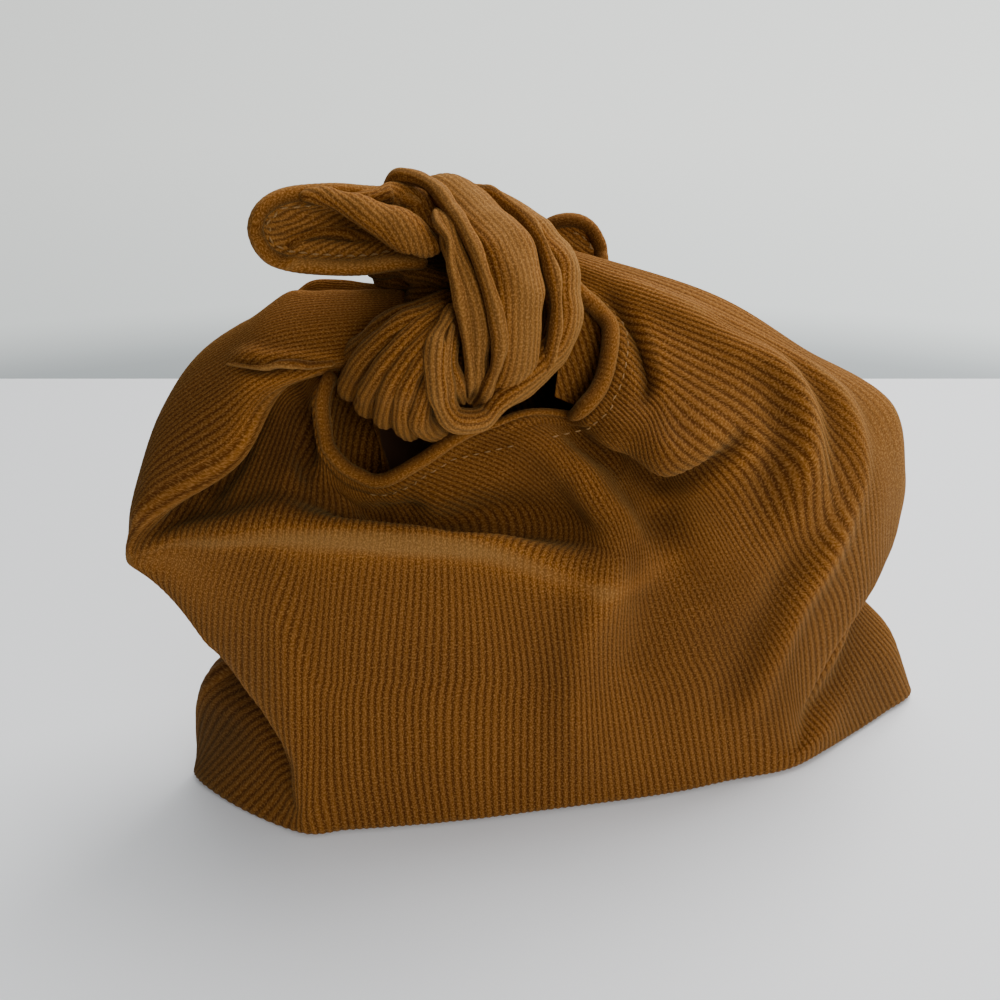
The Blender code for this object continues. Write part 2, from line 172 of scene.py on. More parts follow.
def new_material(name, inputs):
    """A material whose shader has these inputs."""
    material = bpy.data.materials.new(name)
    material.use_nodes = True
    for key, value in inputs.items():
        material.node_tree.nodes["Principled BSDF"].inputs[key].default_value = value
    return material


def corduroy_material(name):
    """Ribbed pile cloth: the ribs are in the mesh, so this adds their colour, nap and sheen, and
    the painted light and shade that the mesh carries.
    """
    material = new_material(name, {
        "Roughness": 0.85, "Sheen Weight": 0.14, "Sheen Roughness": 0.45,
        "Sheen Tint": (1.0, 0.75, 0.28, 1), "Specular IOR Level": 0.08})
    tree = material.node_tree
    rib, painted_light = (shader_node(tree, "Attribute", attribute_name=layer).outputs["Fac"]
                for layer in ("rib", "painted_light"))
    cloth = shader_node(tree, "UVMap", uv_map="cloth").outputs["UV"]
    body = shader_node(tree, "TexCoord").outputs["Object"]

    def noise_of(source, scale, detail):
        place = shader_node(tree, "Mapping", {"Vector": source, "Scale": scale})
        return shader_node(tree, "TexNoise", {"Vector": place.outputs["Vector"], "Scale": 1.0,
                                              "Detail": detail}).outputs["Fac"]

    def blend(factor, first, second, low=0.0, high=1.0):
        """The first colour where the factor is low, the second where it is high."""
        share = shader_node(tree, "MapRange", {"Value": factor, "From Min": low, "From Max": high})
        colors = [value if isinstance(value, bpy.types.NodeSocket) else (*value, 1)
                  for value in (first, second)]
        mix = shader_node(tree, "Mix", {0: share.outputs["Result"], 6: colors[0], 7: colors[1]},
                          data_type="RGBA")
        return mix.outputs[2]

    patches = noise_of(body, (PATCHES_PER_M,) * 3, 3)
    # painted shade in the grooves: the colour darkens from the ribs' crowns down between them
    ribbed = blend(rib, blend(patches, *GROOVE_SHADE, 0.35, 0.65), blend(patches, *CROWN, 0.35, 0.65),
                   0.15, 0.85)
    raised = shader_node(tree, "Math", {0: rib, 1: 0.10, 2: noise_of(cloth, NAP_PER_MM, 2)},
                         operation="MULTIPLY_ADD").outputs[0]   # the tips stand on the ribs
    speckled = blend(raised, ribbed, TIPS, 0.50, 0.86)
    # painted highlight over crests and painted shade in hollows and shaded places, scaled by the
    # painted-light attribute
    shade = shader_node(tree, "MapRange", {"Value": painted_light, "To Min": 0.44, "To Max": 1.66})
    scaled = shader_node(tree, "VectorMath", {0: speckled, "Scale": shade.outputs["Result"]},
                         operation="SCALE")
    bump = shader_node(tree, "Bump", {"Strength": 0.55, "Distance": 0.00035,
                                      "Height": noise_of(cloth, FIBRES_PER_MM, 3)})
    shader = tree.nodes["Principled BSDF"]
    # the pale painted highlight where the painted light runs highest
    tree.links.new(blend(painted_light, scaled.outputs[0], CREST_HIGHLIGHT, 0.70, 1.4), shader.inputs["Base Color"])
    tree.links.new(bump.outputs["Normal"], shader.inputs["Normal"])
    return material


def plain_material(name, color, roughness):
    """A plain woven cloth: a fine over-and-under weave in its colour and its relief."""
    material = new_material(name, {"Roughness": roughness})
    tree = material.node_tree
    weave = shader_node(tree, "TexChecker", {
        "Vector": shader_node(tree, "TexCoord").outputs["Object"], "Scale": WEAVE_PER_MM / MM,
        "Color1": (*color, 1), "Color2": (*(channel * 0.7 for channel in color), 1)})
    bump = shader_node(tree, "Bump", {"Distance": 0.0002, "Height": weave.outputs["Fac"]})
    shader = tree.nodes["Principled BSDF"]
    tree.links.new(weave.outputs["Color"], shader.inputs["Base Color"])
    tree.links.new(bump.outputs["Normal"], shader.inputs["Normal"])
    return material


# ---------------------------------------------------------------- curves and meshes

def spline(points, steps):
    """The Catmull-Rom curve through the points, read at each step, whole numbers being points."""
    points = np.asarray(points, float)
    before = np.concatenate([2 * points[:1] - points[1:2], points, 2 * points[-1:] - points[-2:-1]])
    base = np.clip(np.floor(steps).astype(int), 0, len(points) - 2)
    t = (np.asarray(steps, float) - base).reshape(-1, *[1] * (points.ndim - 1))
    p0, p1, p2, p3 = (before[base + i] for i in range(4))
    return 0.5 * (2 * p1 + (p2 - p0) * t + (2 * p0 - 5 * p1 + 4 * p2 - p3) * t ** 2
                  + (3 * p1 - p0 - 3 * p2 + p3) * t ** 3)


def unit(vectors):
    """The vectors at length one."""
    return vectors / np.maximum(np.linalg.norm(vectors, axis=-1, keepdims=True), 1e-9)


def bell(value, middle, width):
    """1 at the middle, fading out on both sides."""
    return np.exp(-((value - middle) / width) ** 2)


def step_up(value, low, high):
    """0 below low, 1 above high, smooth between."""
    t = np.clip((value - low) / (high - low), 0, 1)
    return t * t * (3 - 2 * t)


def between(value, rise, fall):
    """0, rising to 1 over one pair of values, and back to 0 over the other."""
    return step_up(value, *rise) * (1 - step_up(value, *fall))


def rib_profile(count):
    """Height of the ribbing, 0 to 1, where whole numbers of count are the grooves."""
    return 1 - np.abs(np.cos(np.pi * count)) ** 2.6


def grid_faces(rows, columns, closed=False):
    """Quads of a grid of points, row after row; closed joins the last column to the first."""
    row, column = np.mgrid[0:rows - 1, 0:columns if closed else columns - 1]
    here = row * columns + column
    side = row * columns + (column + 1) % columns
    return np.stack([here, side, side + columns, here + columns], -1).reshape(-1, 4)


def tube_faces(rings, sides):
    """Faces of a tube of rings, closed by one face at each end."""
    return (grid_faces(rings, sides, closed=True).tolist() + [list(reversed(range(sides)))]
            + [list(range((rings - 1) * sides, rings * sides))])


def mesh_piece(name, points, faces, material, cloth=None, rib=None, painted_light=None):
    """A shown piece from points in millimetres. cloth: each point's place on the flat cloth."""
    mesh = bpy.data.meshes.new(name)
    points = placed(points).reshape(-1, 3)
    mesh.from_pydata(points.tolist(), [], [tuple(face) for face in faces])
    mesh.shade_smooth()
    # rib heights, and the painted light and shade for the corduroy material
    for layer_name, values in (("rib", rib), ("painted_light", painted_light)):
        if values is not None:
            layer = mesh.attributes.new(layer_name, "FLOAT", "POINT")
            values = np.asarray(values, np.float32).ravel()
            layer.data.foreach_set("value", np.resize(values, len(points)))
    if cloth is not None:
        layer = mesh.uv_layers.new(name="cloth")
        corners = np.empty(len(mesh.loops), np.int32)
        mesh.loops.foreach_get("vertex_index", corners)
        cloth = np.asarray(cloth, np.float32).reshape(-1, 2)
        layer.uv.foreach_set("vector", cloth[corners].ravel())
    mesh.materials.append(material)
    mesh.update()
    piece = bpy.data.objects.new(name, mesh)
    bpy.context.scene.collection.objects.link(piece)
    return piece


def grid_normals(grid, closed=False):
    """Unit normals of a grid: across its columns times up its rows."""
    if closed:
        across = np.roll(grid, -1, 1) - np.roll(grid, 1, 1)
    else:
        across = np.gradient(grid, axis=1)
    return unit(np.cross(across, np.gradient(grid, axis=0)))


def lengths_along(points):
    """Distance from the first point of a line, or from the first row of a grid up each column."""
    pieces = np.linalg.norm(np.diff(points, axis=0), axis=-1)
    return np.concatenate([np.zeros((1, *points.shape[1:-1])), np.cumsum(pieces, 0)])


def rings_round(centre, side, up, across, through):
    """Rings round a line of centres, their points so far to the side and so far up."""
    return centre[:, None] + side[:, None] * across[..., None] + up[:, None] * through[..., None]


def read_at(at, length, values):
    """Rows of values, read at distances along the line whose rows lie at length."""
    return np.stack([np.interp(at, length, column) for column in values.T], 1)


# ---------------------------------------------------------------- the bag's cloth

# One row a wale: where it stands along the girth, then its points from the foot on the table up
# to the hem or the neck under the knot, one for each of PLACES, or 0 where it has none.
PLACES = ("foot", "ear", "tuck", "edge", "front", "ridge", "shelf", "gully", "lip", "end")
WALES = (
    # front panel, left to right
    (-13, (-114, 3, 0), (-110, -2, 28), (-92, -8, 48), (-118, -9, 71), 0, (-123, -8, 78),
     (-115, -11, 90), (-93, -15, 105), (-79, -8, 122), (-56, -6, 127)),
    (0, (-115, -4, 0), (-98, -13, 24), (-89, -14, 36), (-112, -12, 64), 0, (-110, -14, 84),
     (-106, -10, 90), (-95, -8, 106), (-80, -5, 122), (-57, -3, 124)),
    (15, (-102, -20.5, 0), (-91, -22, 13), (-87, -22, 22), (-101.5, -18, 49), 0, (-99, -21, 87),
     (-94, -17, 95), (-86, -10, 110), (-78, -6, 121), (-61, -2, 127)),
    (30, (-85, -34, 0), (-85, -33, 5), (-85, -32, 12), (-86, -30, 38), 0, (-87, -26, 89),
     (-83, -20, 99), (-79, -12, 107), (-76, -10, 117), (-71, -10, 122)),
    (41, (-73, -35, 0), 0, 0, 0, (-76, -31, 48), (-78, -29, 90), (-75, -21, 95), (-74, -17, 99),
     (-73, -16, 104), (-72, -15, 110)),
    (52, (-62, -36, 0), 0, 0, 0, (-66, -32, 48), (-70, -31, 90), (-66, -22, 89.5), (-66, -18, 93),
     (-68, -18, 97), (-69, -17, 103)),
    (66, (-48, -37, 0), 0, 0, 0, (-52, -33, 46), (-57, -33, 89), (-56, -22, 86), (-58, -17, 87),
     (-62, -19, 93), (-64, -18, 99)),
    (80, (-34, -37.5, 0), 0, 0, 0, (-36, -34, 45), (-43, -34, 87), (-42, -23, 84), (-43, -17, 85),
     (-50, -20, 91), (-57, -19, 97)),
    (94, (-20, -37.5, 0), 0, 0, 0, (-21, -34, 42), (-29, -35, 83), (-21, -25, 82), (-22, -18, 88),
     (-33, -20, 96), (-46, -19, 102)),
    (108, (-6, -37.5, 0), 0, 0, 0, (-8, -36, 40), (-12, -37, 76), (-7, -30, 82), (-8, -23, 89),
     (-21, -20, 102), (-34, -17, 108)),
    (122, (8, -37.5, 0), 0, 0, 0, (2, -37, 42), (2, -38, 72), (2, -35, 82), (-2, -27, 92),
     (-11, -20, 105), (-20, -16, 111.5)),
    (138, (24, -37, 0), 0, 0, 0, (16, -34, 42), (12, -36, 74), (10, -31, 85), (6, -24, 96),
     (-3, -18, 105), (-8, -14, 110.5)),
    (154, (40, -35, 0), 0, 0, 0, (32, -34, 44), (24, -36, 78), (18, -28, 92), (8, -24, 101),
     (2, -26, 107), (-3, -20, 113)),
    (172, (58, -33.5, 0), (58, -33, 5), (57, -32, 11), 0, (47, -35, 46), (36, -34, 76),
     (24, -27, 95), (13, -32, 101), (9, -27, 112), (2, -19, 119)),
    (187, (73, -27, 0), (71, -28, 9), (66, -25, 15), (62, -30, 24), (57, -32, 50), (48, -31, 76),
     (37, -27, 96), (20, -29, 109), (13, -24, 119), (5, -16, 127)),
    (202, (87, -20, 0), (81, -20, 13), (76, -18, 23), (75, -24, 37), (71, -26, 55), (60, -29, 78),
     (56, -25, 98), (40, -22, 112), (16, -19, 127), (5, -12, 135)),
    (215, (100.5, -12.5, 0), (91, -13, 18), (83, -11, 33), (85, -17, 47), (81, -20, 64),
     (76, -20, 84), (67, -18, 102), (50, -15, 119), (19, -13, 134), (-1, -7, 142.5)),
    (229, (114.5, -3.5, 0), (103, -6, 20), (87, -4, 40), (93, -9, 52), (92, -11, 66), (88, -12, 85),
     (78, -10, 104), (58, -8, 120.5), (22, -8, 138.6), (-10, -4, 151.5)),
    # back panel, right to left
    (240, (109.5, 7, 0), (104, 1, 24), (91, 2, 41), (98, -1, 54), (101, -1, 66), (101, 0, 80),
     (94, 1, 101.5), (66, 0, 119), (34, 0, 138), (-16, 0, 155)),
    (254, (96, 15, 0), (97, 11, 22), (88, 9, 40), (95, 9, 55), (98, 9, 68), (96, 11, 84),
     (84, 9, 106.5), (60, 7, 121), (32, 4, 137), (-16, 4, 153)),
    (271, (82, 26, 0), (85, 22, 18), (82, 18, 34), (88, 19, 52), (89, 20, 66), (84, 21, 86),
     (72, 15, 108), (52, 12, 122), (27, 8, 136), (-17, 6, 147)),
    (290, (64, 31, 0), 0, 0, 0, (72, 30, 48), (66, 28, 88), (54, 22, 108), (40, 17, 119),
     (20, 11, 131), (-17, 7, 137)),
    (308, (46, 31, 0), 0, 0, 0, (50, 35, 46), (44, 34, 86), (34, 24, 105), (25, 18, 113),
     (12, 12, 123), (-17, 7, 130)),
    (327, (27, 31, 0), 0, 0, 0, (26, 36, 44), (20, 35, 84), (14, 24, 100), (9, 20, 107),
     (0, 14, 114), (-17, 9, 121)),
    (346, (8, 31, 0), 0, 0, 0, (5, 36, 44), (-2, 35, 84), (-6, 25, 97), (-9, 21, 104),
     (-13, 21, 111), (-17, 18, 118)),
    (365, (-11, 31, 0), 0, 0, 0, (-16, 36, 44), (-24, 34, 86), (-28, 26, 99), (-31, 22, 105),
     (-33, 21, 112), (-36, 18, 119)),
    (383, (-29, 31, 0), 0, 0, 0, (-37, 35, 46), (-46, 33, 89), (-50, 25, 105), (-53, 20, 112),
     (-55, 18, 119), (-58, 14, 126)),
    (400, (-46, 31, 0), 0, 0, 0, (-58, 34, 48), (-68, 29, 92), (-70, 20, 115), (-68, 14, 126),
     (-65, 12, 133), (-50, 10, 136)),
    (424, (-62, 29, 0), (-69, 29, 18), (-76, 26, 38), (-86, 25, 56), 0, (-90, 22, 92),
     (-86, 13, 122), (-76, 8, 140), (-68, 7, 145), (-48, 8, 142)),
    (446, (-76, 23, 0), (-86, 22, 20), (-86, 16, 42), (-103, 16, 60), 0, (-107, 13, 92),
     (-101, 5, 125), (-86, 0, 138), (-74, 0, 143), (-48, 1, 142)),
    (464, (-89, 17, 0), (-98, 16, 24), (-89, 9, 46), (-112, 7, 63), 0, (-116, 5, 92),
     (-110, -2, 117), (-92, -7, 131), (-78, -8, 137), (-49, -6, 138)),
    (477, (-99, 12, 0), (-105, 9, 30), (-91, 1, 50), (-115.5, -1, 67), 0, (-121, -2, 88),
     (-114, -7, 106), (-96, -13, 121), (-81, -14, 129), (-52, -10, 131)),
    (486, (-106, 8, 0), (-108, 3, 32), (-92, -4, 50), (-117.5, -6, 69), 0, (-123, -6, 81),
     (-116, -10, 96), (-95, -17, 110), (-82, -13, 123), (-54, -8, 127)),
)

ROWS_PER_GAP = (14, 12, 13, 13, 20, 17, 17, 14, 14)  # rows from each place up to the next
FOOT_ROUNDING = 3.0  # radius of the soft edge round the base
BASE_ROWS = 11
BASE_LIFT = 0.3  # the base's cloth lies so far above the table
FRONT_HEM = ((22, 38), (210, 222))  # where along the girth the mouth's hem begins and ends
BACK_HEM = ((284, 298), (374, 390))
HEM_RADIUS = 1.7  # of the roll where the hem turns in
HORN_HEM_RADIUS = 2.1  # the same where it climbs the right horn
HORN_HEM = ((138, 160), (205, 220))  # where that begins and ends
CROSSING, CROSSING_REACH = 122, 20  # where the hem is thin, as it crosses under the knot
HEM_PUFF, PUFF_FROM_EDGE, PUFF_REACH = 1.2, 1.2, 2.0  # how the hem swells above its stitches
STITCH_DENT, DENT_REACH = 0.6, 0.6  # how its stitches draw it in
ROLL_ROWS = 6
FACING_ROWS = 8
FACING_TO = 8.4  # how far down the places the turned-in facing goes
SEAM_FADE = 5.0  # how far from a seam the folds die out
HEM_THICKNESS = 3.6
HEM_CHANGES = ((-1.8, 100, 118), (2.6, 138, 156))  # by how much, and where along the girth
STITCH_LINE = 3.1  # from the hem's edge to its row of stitches
STITCH_PITCH = 3.0
STITCH_ARCH, STITCH_LIFT = 0.22, 0.05  # a stitch's middle and its ends over the cloth
STITCHES_SHOW = ((70, 100), (150, 234))  # where along the girth; the rest is covered
FRONT_SPAN = (-11.0, 234.0)  # the front sheet's part of the girth; the back has the rest
FRONT_COLUMNS, BACK_COLUMNS = 5, 4  # mesh columns to a rib

# Folds pressed into the panels: how far the crest stands out (in, if negative), how far it
# reaches each way, and the points that it runs through over the cloth.
FRONT_FOLDS = (
    # under the roll of the right horn, and the roll's own crest
    (-4.5, 3.2, ((-6, -18, 106), (4, -23, 100), (14, -27, 96), (23, -28, 96), (32, -28, 101),
     (40, -26, 108))),
    (2.6, 5.5, ((0, -21, 112), (9, -25, 108), (16, -28, 104), (24, -28, 106), (32, -27, 111))),
    # the slot behind the hem where it climbs the horn
    (-6.0, 2.4, ((5, -9, 140), (9, -14, 134), (11, -18, 127), (12, -21, 121), (10, -24, 116))),
    # the horn's two long ridges and the hollows between them
    (2.0, 4.0, ((24, -3, 141), (40, -5, 132), (53, -6, 125), (68, -9, 114), (75, -13, 103),
     (77, -18, 90), (75, -21, 83))),
    (-2.4, 4.5, ((34, -10, 133), (55, -9, 122), (66, -13, 110), (68, -20, 98), (66, -25, 85))),
    (3.0, 4.5, ((13, -7, 141), (34, -12, 131), (50, -12, 121), (57, -17, 111), (58, -23, 102),
     (54, -27, 91))),
    (-2.6, 7.0, ((46, -18, 116), (49, -22, 105), (46, -28, 92), (43, -31, 78))),
    # down the right of the wall
    (2.2, 4.5, ((75, -21, 83), (65, -28, 68), (51, -34, 48), (43, -32, 17))),
    (-2.0, 7.0, ((60, -29, 80), (54, -31, 70), (43, -35, 50), (33, -33, 19))),
    (2.6, 6.0, ((-11, -22, 97), (-2, -29, 87), (-1, -36, 78), (-4, -38, 66), (-7, -37, 54),
     (-8, -35, 30), (-3, -33, 12))),
    (-3.0, 10.0, ((10, -30, 90), (12, -34, 76), (11, -37, 56), (5, -36, 36))),
    # from the mouth down to the right, with the hollow under the horn beside it
    (3.2, 4.5, ((-25, -17, 111), (-17, -19, 106), (-8, -23, 100), (0, -27, 92), (7, -32, 85),
     (10, -36, 78), (11, -36, 69))),
    (-3.0, 6.0, ((5, -26, 97), (11, -28, 91), (16, -32, 85), (21, -36, 77), (25, -36, 64))),
    # the wall's top edge, and the hollow under the mouth
    (1.4, 4.0, ((-120, -9, 80), (-111, -13, 85), (-95, -22, 89), (-79, -28, 91), (-55, -33, 89),
     (-30, -34, 85), (-14, -36, 81), (-6, -38, 76))),
    (-3.4, 4.0, ((-60, -18, 91), (-54, -19, 89), (-48, -22, 88), (-41, -28, 87), (-32, -28, 86))),
    # the hollow beside the mouth's left end, and the hollow under the wing's edge
    (-4.5, 3.2, ((-77, -6, 125), (-76, -9, 118), (-76, -12, 112), (-76, -15, 106),
     (-75, -17, 101))),
    (-2.2, 3.0, ((-118, -8, 87), (-111, -10, 91), (-101, -12, 96), (-95, -11, 102), (-90, -10, 110),
     (-85, -9, 117), (-79, -8, 124))),
    # the tucks over both lower corners
    (-3.2, 3.0, ((-104, -14, 49), (-95, -20, 36), (-88, -26, 25), (-86, -29, 16))),
    (-3.2, 3.0, ((86, -15, 44), (74, -23, 34), (62, -28, 16))),
)
BACK_FOLDS = (
    # the edge of the strap over the left wing, and the hollow under it
    (1.4, 2.0, ((-92, -10, 133), (-88, -12, 133), (-84, -14, 132), (-78, -14, 131), (-72, -13, 130),
     (-67, -11, 129))),
    (-3.2, 1.8, ((-89, -12, 129), (-85, -14, 129), (-81, -15, 129), (-76, -14, 128),
     (-71, -12, 127), (-66, -10, 126))),
    # the wing's own edge
    (1.6, 2.6, ((-120, -8, 89), (-114, -10, 92), (-104, -12, 97), (-98, -11, 103), (-93, -10, 111),
     (-88, -9, 117), (-82, -8, 124))),
    # between the strap's front layer and the hump behind it
    (-2.5, 2.2, ((-86, 4, 138), (-72, 4, 143), (-60, 5, 142), (-48, 5, 140))),
)

# The painted light on level cloth, how far a hollow's painted shade or a crest's painted highlight
# swings that, and the depth or height that swings it fully.
PAINTED_LIGHT_LEVEL, PAINTED_CREST_SWING, FULL_CREST = 0.46, 0.30, 0.8
CREST_WINDOW = (3, 9)  # a crest stands over the mean of so many rows and columns each way
# Where painted shade or a painted highlight lies on the cloth: the middle of the area along the
# girth and up the places, how far it reaches each way, by how much it changes the painted light,
# and how far it hides the ribs.
PAINTED_LIGHT_AREAS = (
    (50, 5.60, 68, 0.45, -0.46, 0.0),   # painted shade in the hollow between the wall's top edge and the mouth
    (40, 6.5, 60, 0.90, -0.30, 0.0),
    (28, 7.4, 16, 0.9, -0.40, 0.0),     # painted shade, deep beside the mouth's left end
    (62, 4.94, 66, 0.16, 0.60, 0.75),   # painted highlight along the wall's top edge
    (0, 4.3, 20, 0.8, 0.34, 0.85),      # painted highlight on the left corner
    (-8, 1.0, 20, 2.0, -0.52, 0.0),     # painted shade on the left ear, under the corner
    (212, 1.0, 26, 2.2, -0.30, 0.0),    # painted shade on the right ear
    (172, 7.2, 16, 0.9, -0.25, 0.0),    # painted shade under the right horn's roll
    (168, 3.5, 30, 2.0, -0.16, 0.0),    # painted shade on the wall's right part
    (232, 7.6, 14, 1.2, 0.16, 0.2),     # painted highlight on the horn's top
    (231, 5.0, 12, 1.5, 0.08, 0.92),    # painted highlight on the flank
    (472, 6.6, 26, 1.4, -0.10, 0.0),    # painted shade on the left wing
)

# How far the ribs have drifted to the right along the girth, in mm: at the places in DRIFT_ROWS
# up the cloth, for points along the girth. The panels meet at seams, so it can differ there.
DRIFT_ROWS = (1.5, 3, 4, 5)
FRONT_DRIFT = (
    (-13, (0, 12, 13, 14)), (0, (0, 14, 15, 16)), (15, (0, 10, 13, 17)), (30, (0, 3, 6, 18)),
    (41, (0, 2, 4, 18)), (60, (0, 2, 4, 17)), (100, (0, 0, 1, 4)), (145, (0, 0, -2, -12)),
    (175, (0, 0, -2, -12)), (215, (0, 0, 0, 0)),
)
BACK_DRIFT = ((234, (0, 0, 0, 0)), (440, (0, 0, 0, 0)), (491, (0, 0, -4, -18)))
DRIFT_WINDOW = (4, 20)  # the drift is smoothed over so many rows and columns each way


def wale_curve(points, rows):
    """One wale from its foot (0) to its end, at the given rows in places of PLACES."""
    known = [index for index, point in enumerate(points) if point]
    return spline([points[index] for index in known], np.interp(rows, known, range(len(known))))


def bag_net(around, rows):
    """The cloth's outer face without its ribs, at places along the girth and up the places."""
    wales = np.stack([wale_curve(points, rows) for _, *points in WALES], 0)
    u = np.array([place for place, *_ in WALES], float)
    wales = np.concatenate([wales[-4:], wales, wales[:4]])
    u = np.concatenate([u[-4:] - GIRTH, u, u[:4] + GIRTH])
    return spline(wales, np.interp(around, u, np.arange(len(u)))).transpose(1, 0, 2)


def hem_weight(around):
    """1 where the cloth's top is the mouth's hem, 0 where it runs into the knot."""
    return between(around, *FRONT_HEM) + between(around, *BACK_HEM)


def round_foot(net, normals):
    """Draws in the lowest rows, so that the cloth rolls under at the foot."""
    height = np.clip(net[..., 2], 0, FOOT_ROUNDING)
    inset = FOOT_ROUNDING - np.sqrt(FOOT_ROUNDING ** 2 - (FOOT_ROUNDING - height) ** 2)
    flat = unit(normals * (1, 1, 0))
    return net - flat * inset[..., None]


def nearest_of(points, targets):
    """For each point, the index of the nearest target and the distance to it."""
    squared = ((points ** 2).sum(1)[:, None] - 2 * points @ targets.T
               + (targets ** 2).sum(1)[None, :])
    nearest = squared.argmin(1)
    return nearest, np.sqrt(np.maximum(squared[np.arange(len(points)), nearest], 0))


def lines_on(net, folds):
    """Each fold's line, brought on to the net."""
    flat = net.reshape(-1, 3)
    lines = []
    for _, _, points in folds:
        steps = np.linspace(0, len(points) - 1, 8 * len(points))
        line = flat[nearest_of(spline(points, steps), flat)[0]][::4]
        lines.append(spline(line, np.linspace(0, len(line) - 1, 2 * len(steps))))
    return lines


def press_folds(net, normals, folds, lines, share):
    """The net with each fold's crest or hollow pressed into it, fading out at the fold's ends.

    share is how much of the folds each column takes: none at the seams, so that panels meet.
    """
    flat = net.reshape(-1, 3)
    shift = np.zeros(len(flat))
    for (out, width, _), line in zip(folds, lines):
        nearest, distance = nearest_of(flat, line)
        along = nearest / (len(line) - 1)
        fade = np.sqrt(np.sin(np.pi * (0.04 + 0.92 * along)))   # not quite to nothing
        shift += out * fade * bell(distance, 0, width)
    return net + normals * (shift.reshape(net.shape[:2]) * share)[..., None]


def smoothed(grid, half_rows, half_columns):
    """The grid averaged over its neighbours, so many each way."""
    for axis, half in ((0, half_rows), (1, half_columns)):
        ends = [np.repeat(grid.take([end], axis), half, axis) for end in (0, -1)]
        total = np.cumsum(np.concatenate([ends[0], grid, ends[1]], axis), axis)
        total = np.concatenate([np.zeros_like(total.take([0], axis)), total], axis)
        count = grid.shape[axis]
        width = 2 * half + 1
        grid = (total.take(range(width, width + count), axis)
                - total.take(range(count), axis)) / width
    return grid


def painted_light_of_net(net, normals, around, steps):
    """The painted light, 0 to 1: a painted highlight on the crests, painted shade in the hollows,
    and the painted areas of the table above; and how much of the ribs shows."""
    crest = ((net - smoothed(net, *CREST_WINDOW)) * normals).sum(2)
    painted_light = PAINTED_LIGHT_LEVEL + PAINTED_CREST_SWING * np.clip(crest / FULL_CREST, -1, 1)
    shown = np.ones_like(painted_light)
    for u, place, reach, height, change, hidden in PAINTED_LIGHT_AREAS:
        across = (around - u + GIRTH / 2) % GIRTH - GIRTH / 2
        there = bell(across, 0, reach)[None, :] * bell(steps, place, height)[:, None]
        painted_light = painted_light + change * there
        shown = shown * (1 - hidden * there)
    return np.clip(painted_light, 0, 1), shown


def rib_drift(table, around, steps):
    """How far the ribs have drifted along the girth, over the net."""
    values = np.array([values for _, values in table], float)
    known = read_at(around, [u for u, _ in table], values)
    drift = read_at(steps, DRIFT_ROWS, known.T)
    return smoothed(smoothed(drift, *DRIFT_WINDOW), *DRIFT_WINDOW)


def crumpled(points, normals, across, amount):
    """Points moved along their normals by a slow unevenness, across mm from one to the next."""
    flat = points.reshape(-1, 3) / across
    uneven = np.array([noise.noise(point) for point in flat.tolist()])
    return points + normals * (amount * uneven).reshape(points.shape[:2])[..., None]


def make_sheet(name, low, high, columns, folds, drifts, material):
    """A panel: half the base, the wall, the hem's roll and the facing inside it."""
    ribs = int(round((high - low) / RIB))
    around = np.linspace(low, high, ribs * columns + 1)
    steps = np.concatenate([np.linspace(gap, gap + 1, count, endpoint=False)
                            for gap, count in enumerate(ROWS_PER_GAP)] + [[len(PLACES) - 1]])
    net = bag_net(around, steps)
    net[0, :, 2] = 0
    lines = lines_on(net, folds)
    inside = step_up(np.minimum(around - low, high - around), 0, SEAM_FADE)
    net = press_folds(net, grid_normals(net), folds, lines, inside)
    normals = grid_normals(net)
    # painted highlight on crests, painted shade in hollows and shaded areas, and how much of the
    # ribs shows
    painted_light, shown = painted_light_of_net(net, normals, around, steps)
    net = round_foot(net, normals)

    along = lengths_along(net)
    from_edge = along[-1] - along
    hem = hem_weight(around)
    puff = (HEM_PUFF * bell(from_edge, PUFF_FROM_EDGE, PUFF_REACH)
            - STITCH_DENT * bell(from_edge, STITCH_LINE, DENT_REACH))
    net = net + normals * (puff * hem)[..., None]

    # the roll over the edge, and the facing down the inside
    edge, inward = net[-1], -normals[-1]
    rising = unit(net[-1] - net[-3])
    turn = np.linspace(0, math.pi, ROLL_ROWS + 1)[1:, None, None]
    horn = between(around, *HORN_HEM)
    thin = bell(around, CROSSING, CROSSING_REACH)
    radius = (HEM_RADIUS * (1 - 0.5 * thin) + (HORN_HEM_RADIUS - HEM_RADIUS) * horn)[:, None]
    roll = edge + radius * (np.sin(turn) * rising + (1 - np.cos(turn)) * inward)
    down = np.linspace(len(PLACES) - 1, FACING_TO, FACING_ROWS + 1)[1:]
    inner = bag_net(around, down[::-1])
    inner = press_folds(inner, grid_normals(inner), folds, lines, inside)
    inner = (inner - grid_normals(inner) * 2 * radius)[::-1]

    # half the base, in to the line under the middle
    share = np.linspace(0, 1, BASE_ROWS, endpoint=False)[:, None, None]
    base = net[0] * (1, 1, 0) * np.concatenate(
        [np.ones_like(share), share, np.ones_like(share)], 2) + (0, 0, BASE_LIFT)

    whole = np.concatenate([base, net, roll, inner])
    rows = np.clip(np.arange(len(whole)) - len(base), 0, len(net) - 1)
    painted_light, shown = painted_light[rows], shown[rows]
    outward = grid_normals(whole)
    cut = around - rib_drift(drifts, around, steps)[rows]
    rib = RIB_MEAN + (rib_profile(cut / RIB) - RIB_MEAN) * shown
    whole = whole + outward * (rib * RIB_HEIGHT)[..., None]
    whole[..., 2] = np.maximum(whole[..., 2], 0)
    length = lengths_along(whole)
    cloth = np.stack([cut, length], -1)
    piece = mesh_piece(name, whole, grid_faces(*whole.shape[:2]), material, cloth, rib, painted_light)
    return piece, net, normals, from_edge, hem, around


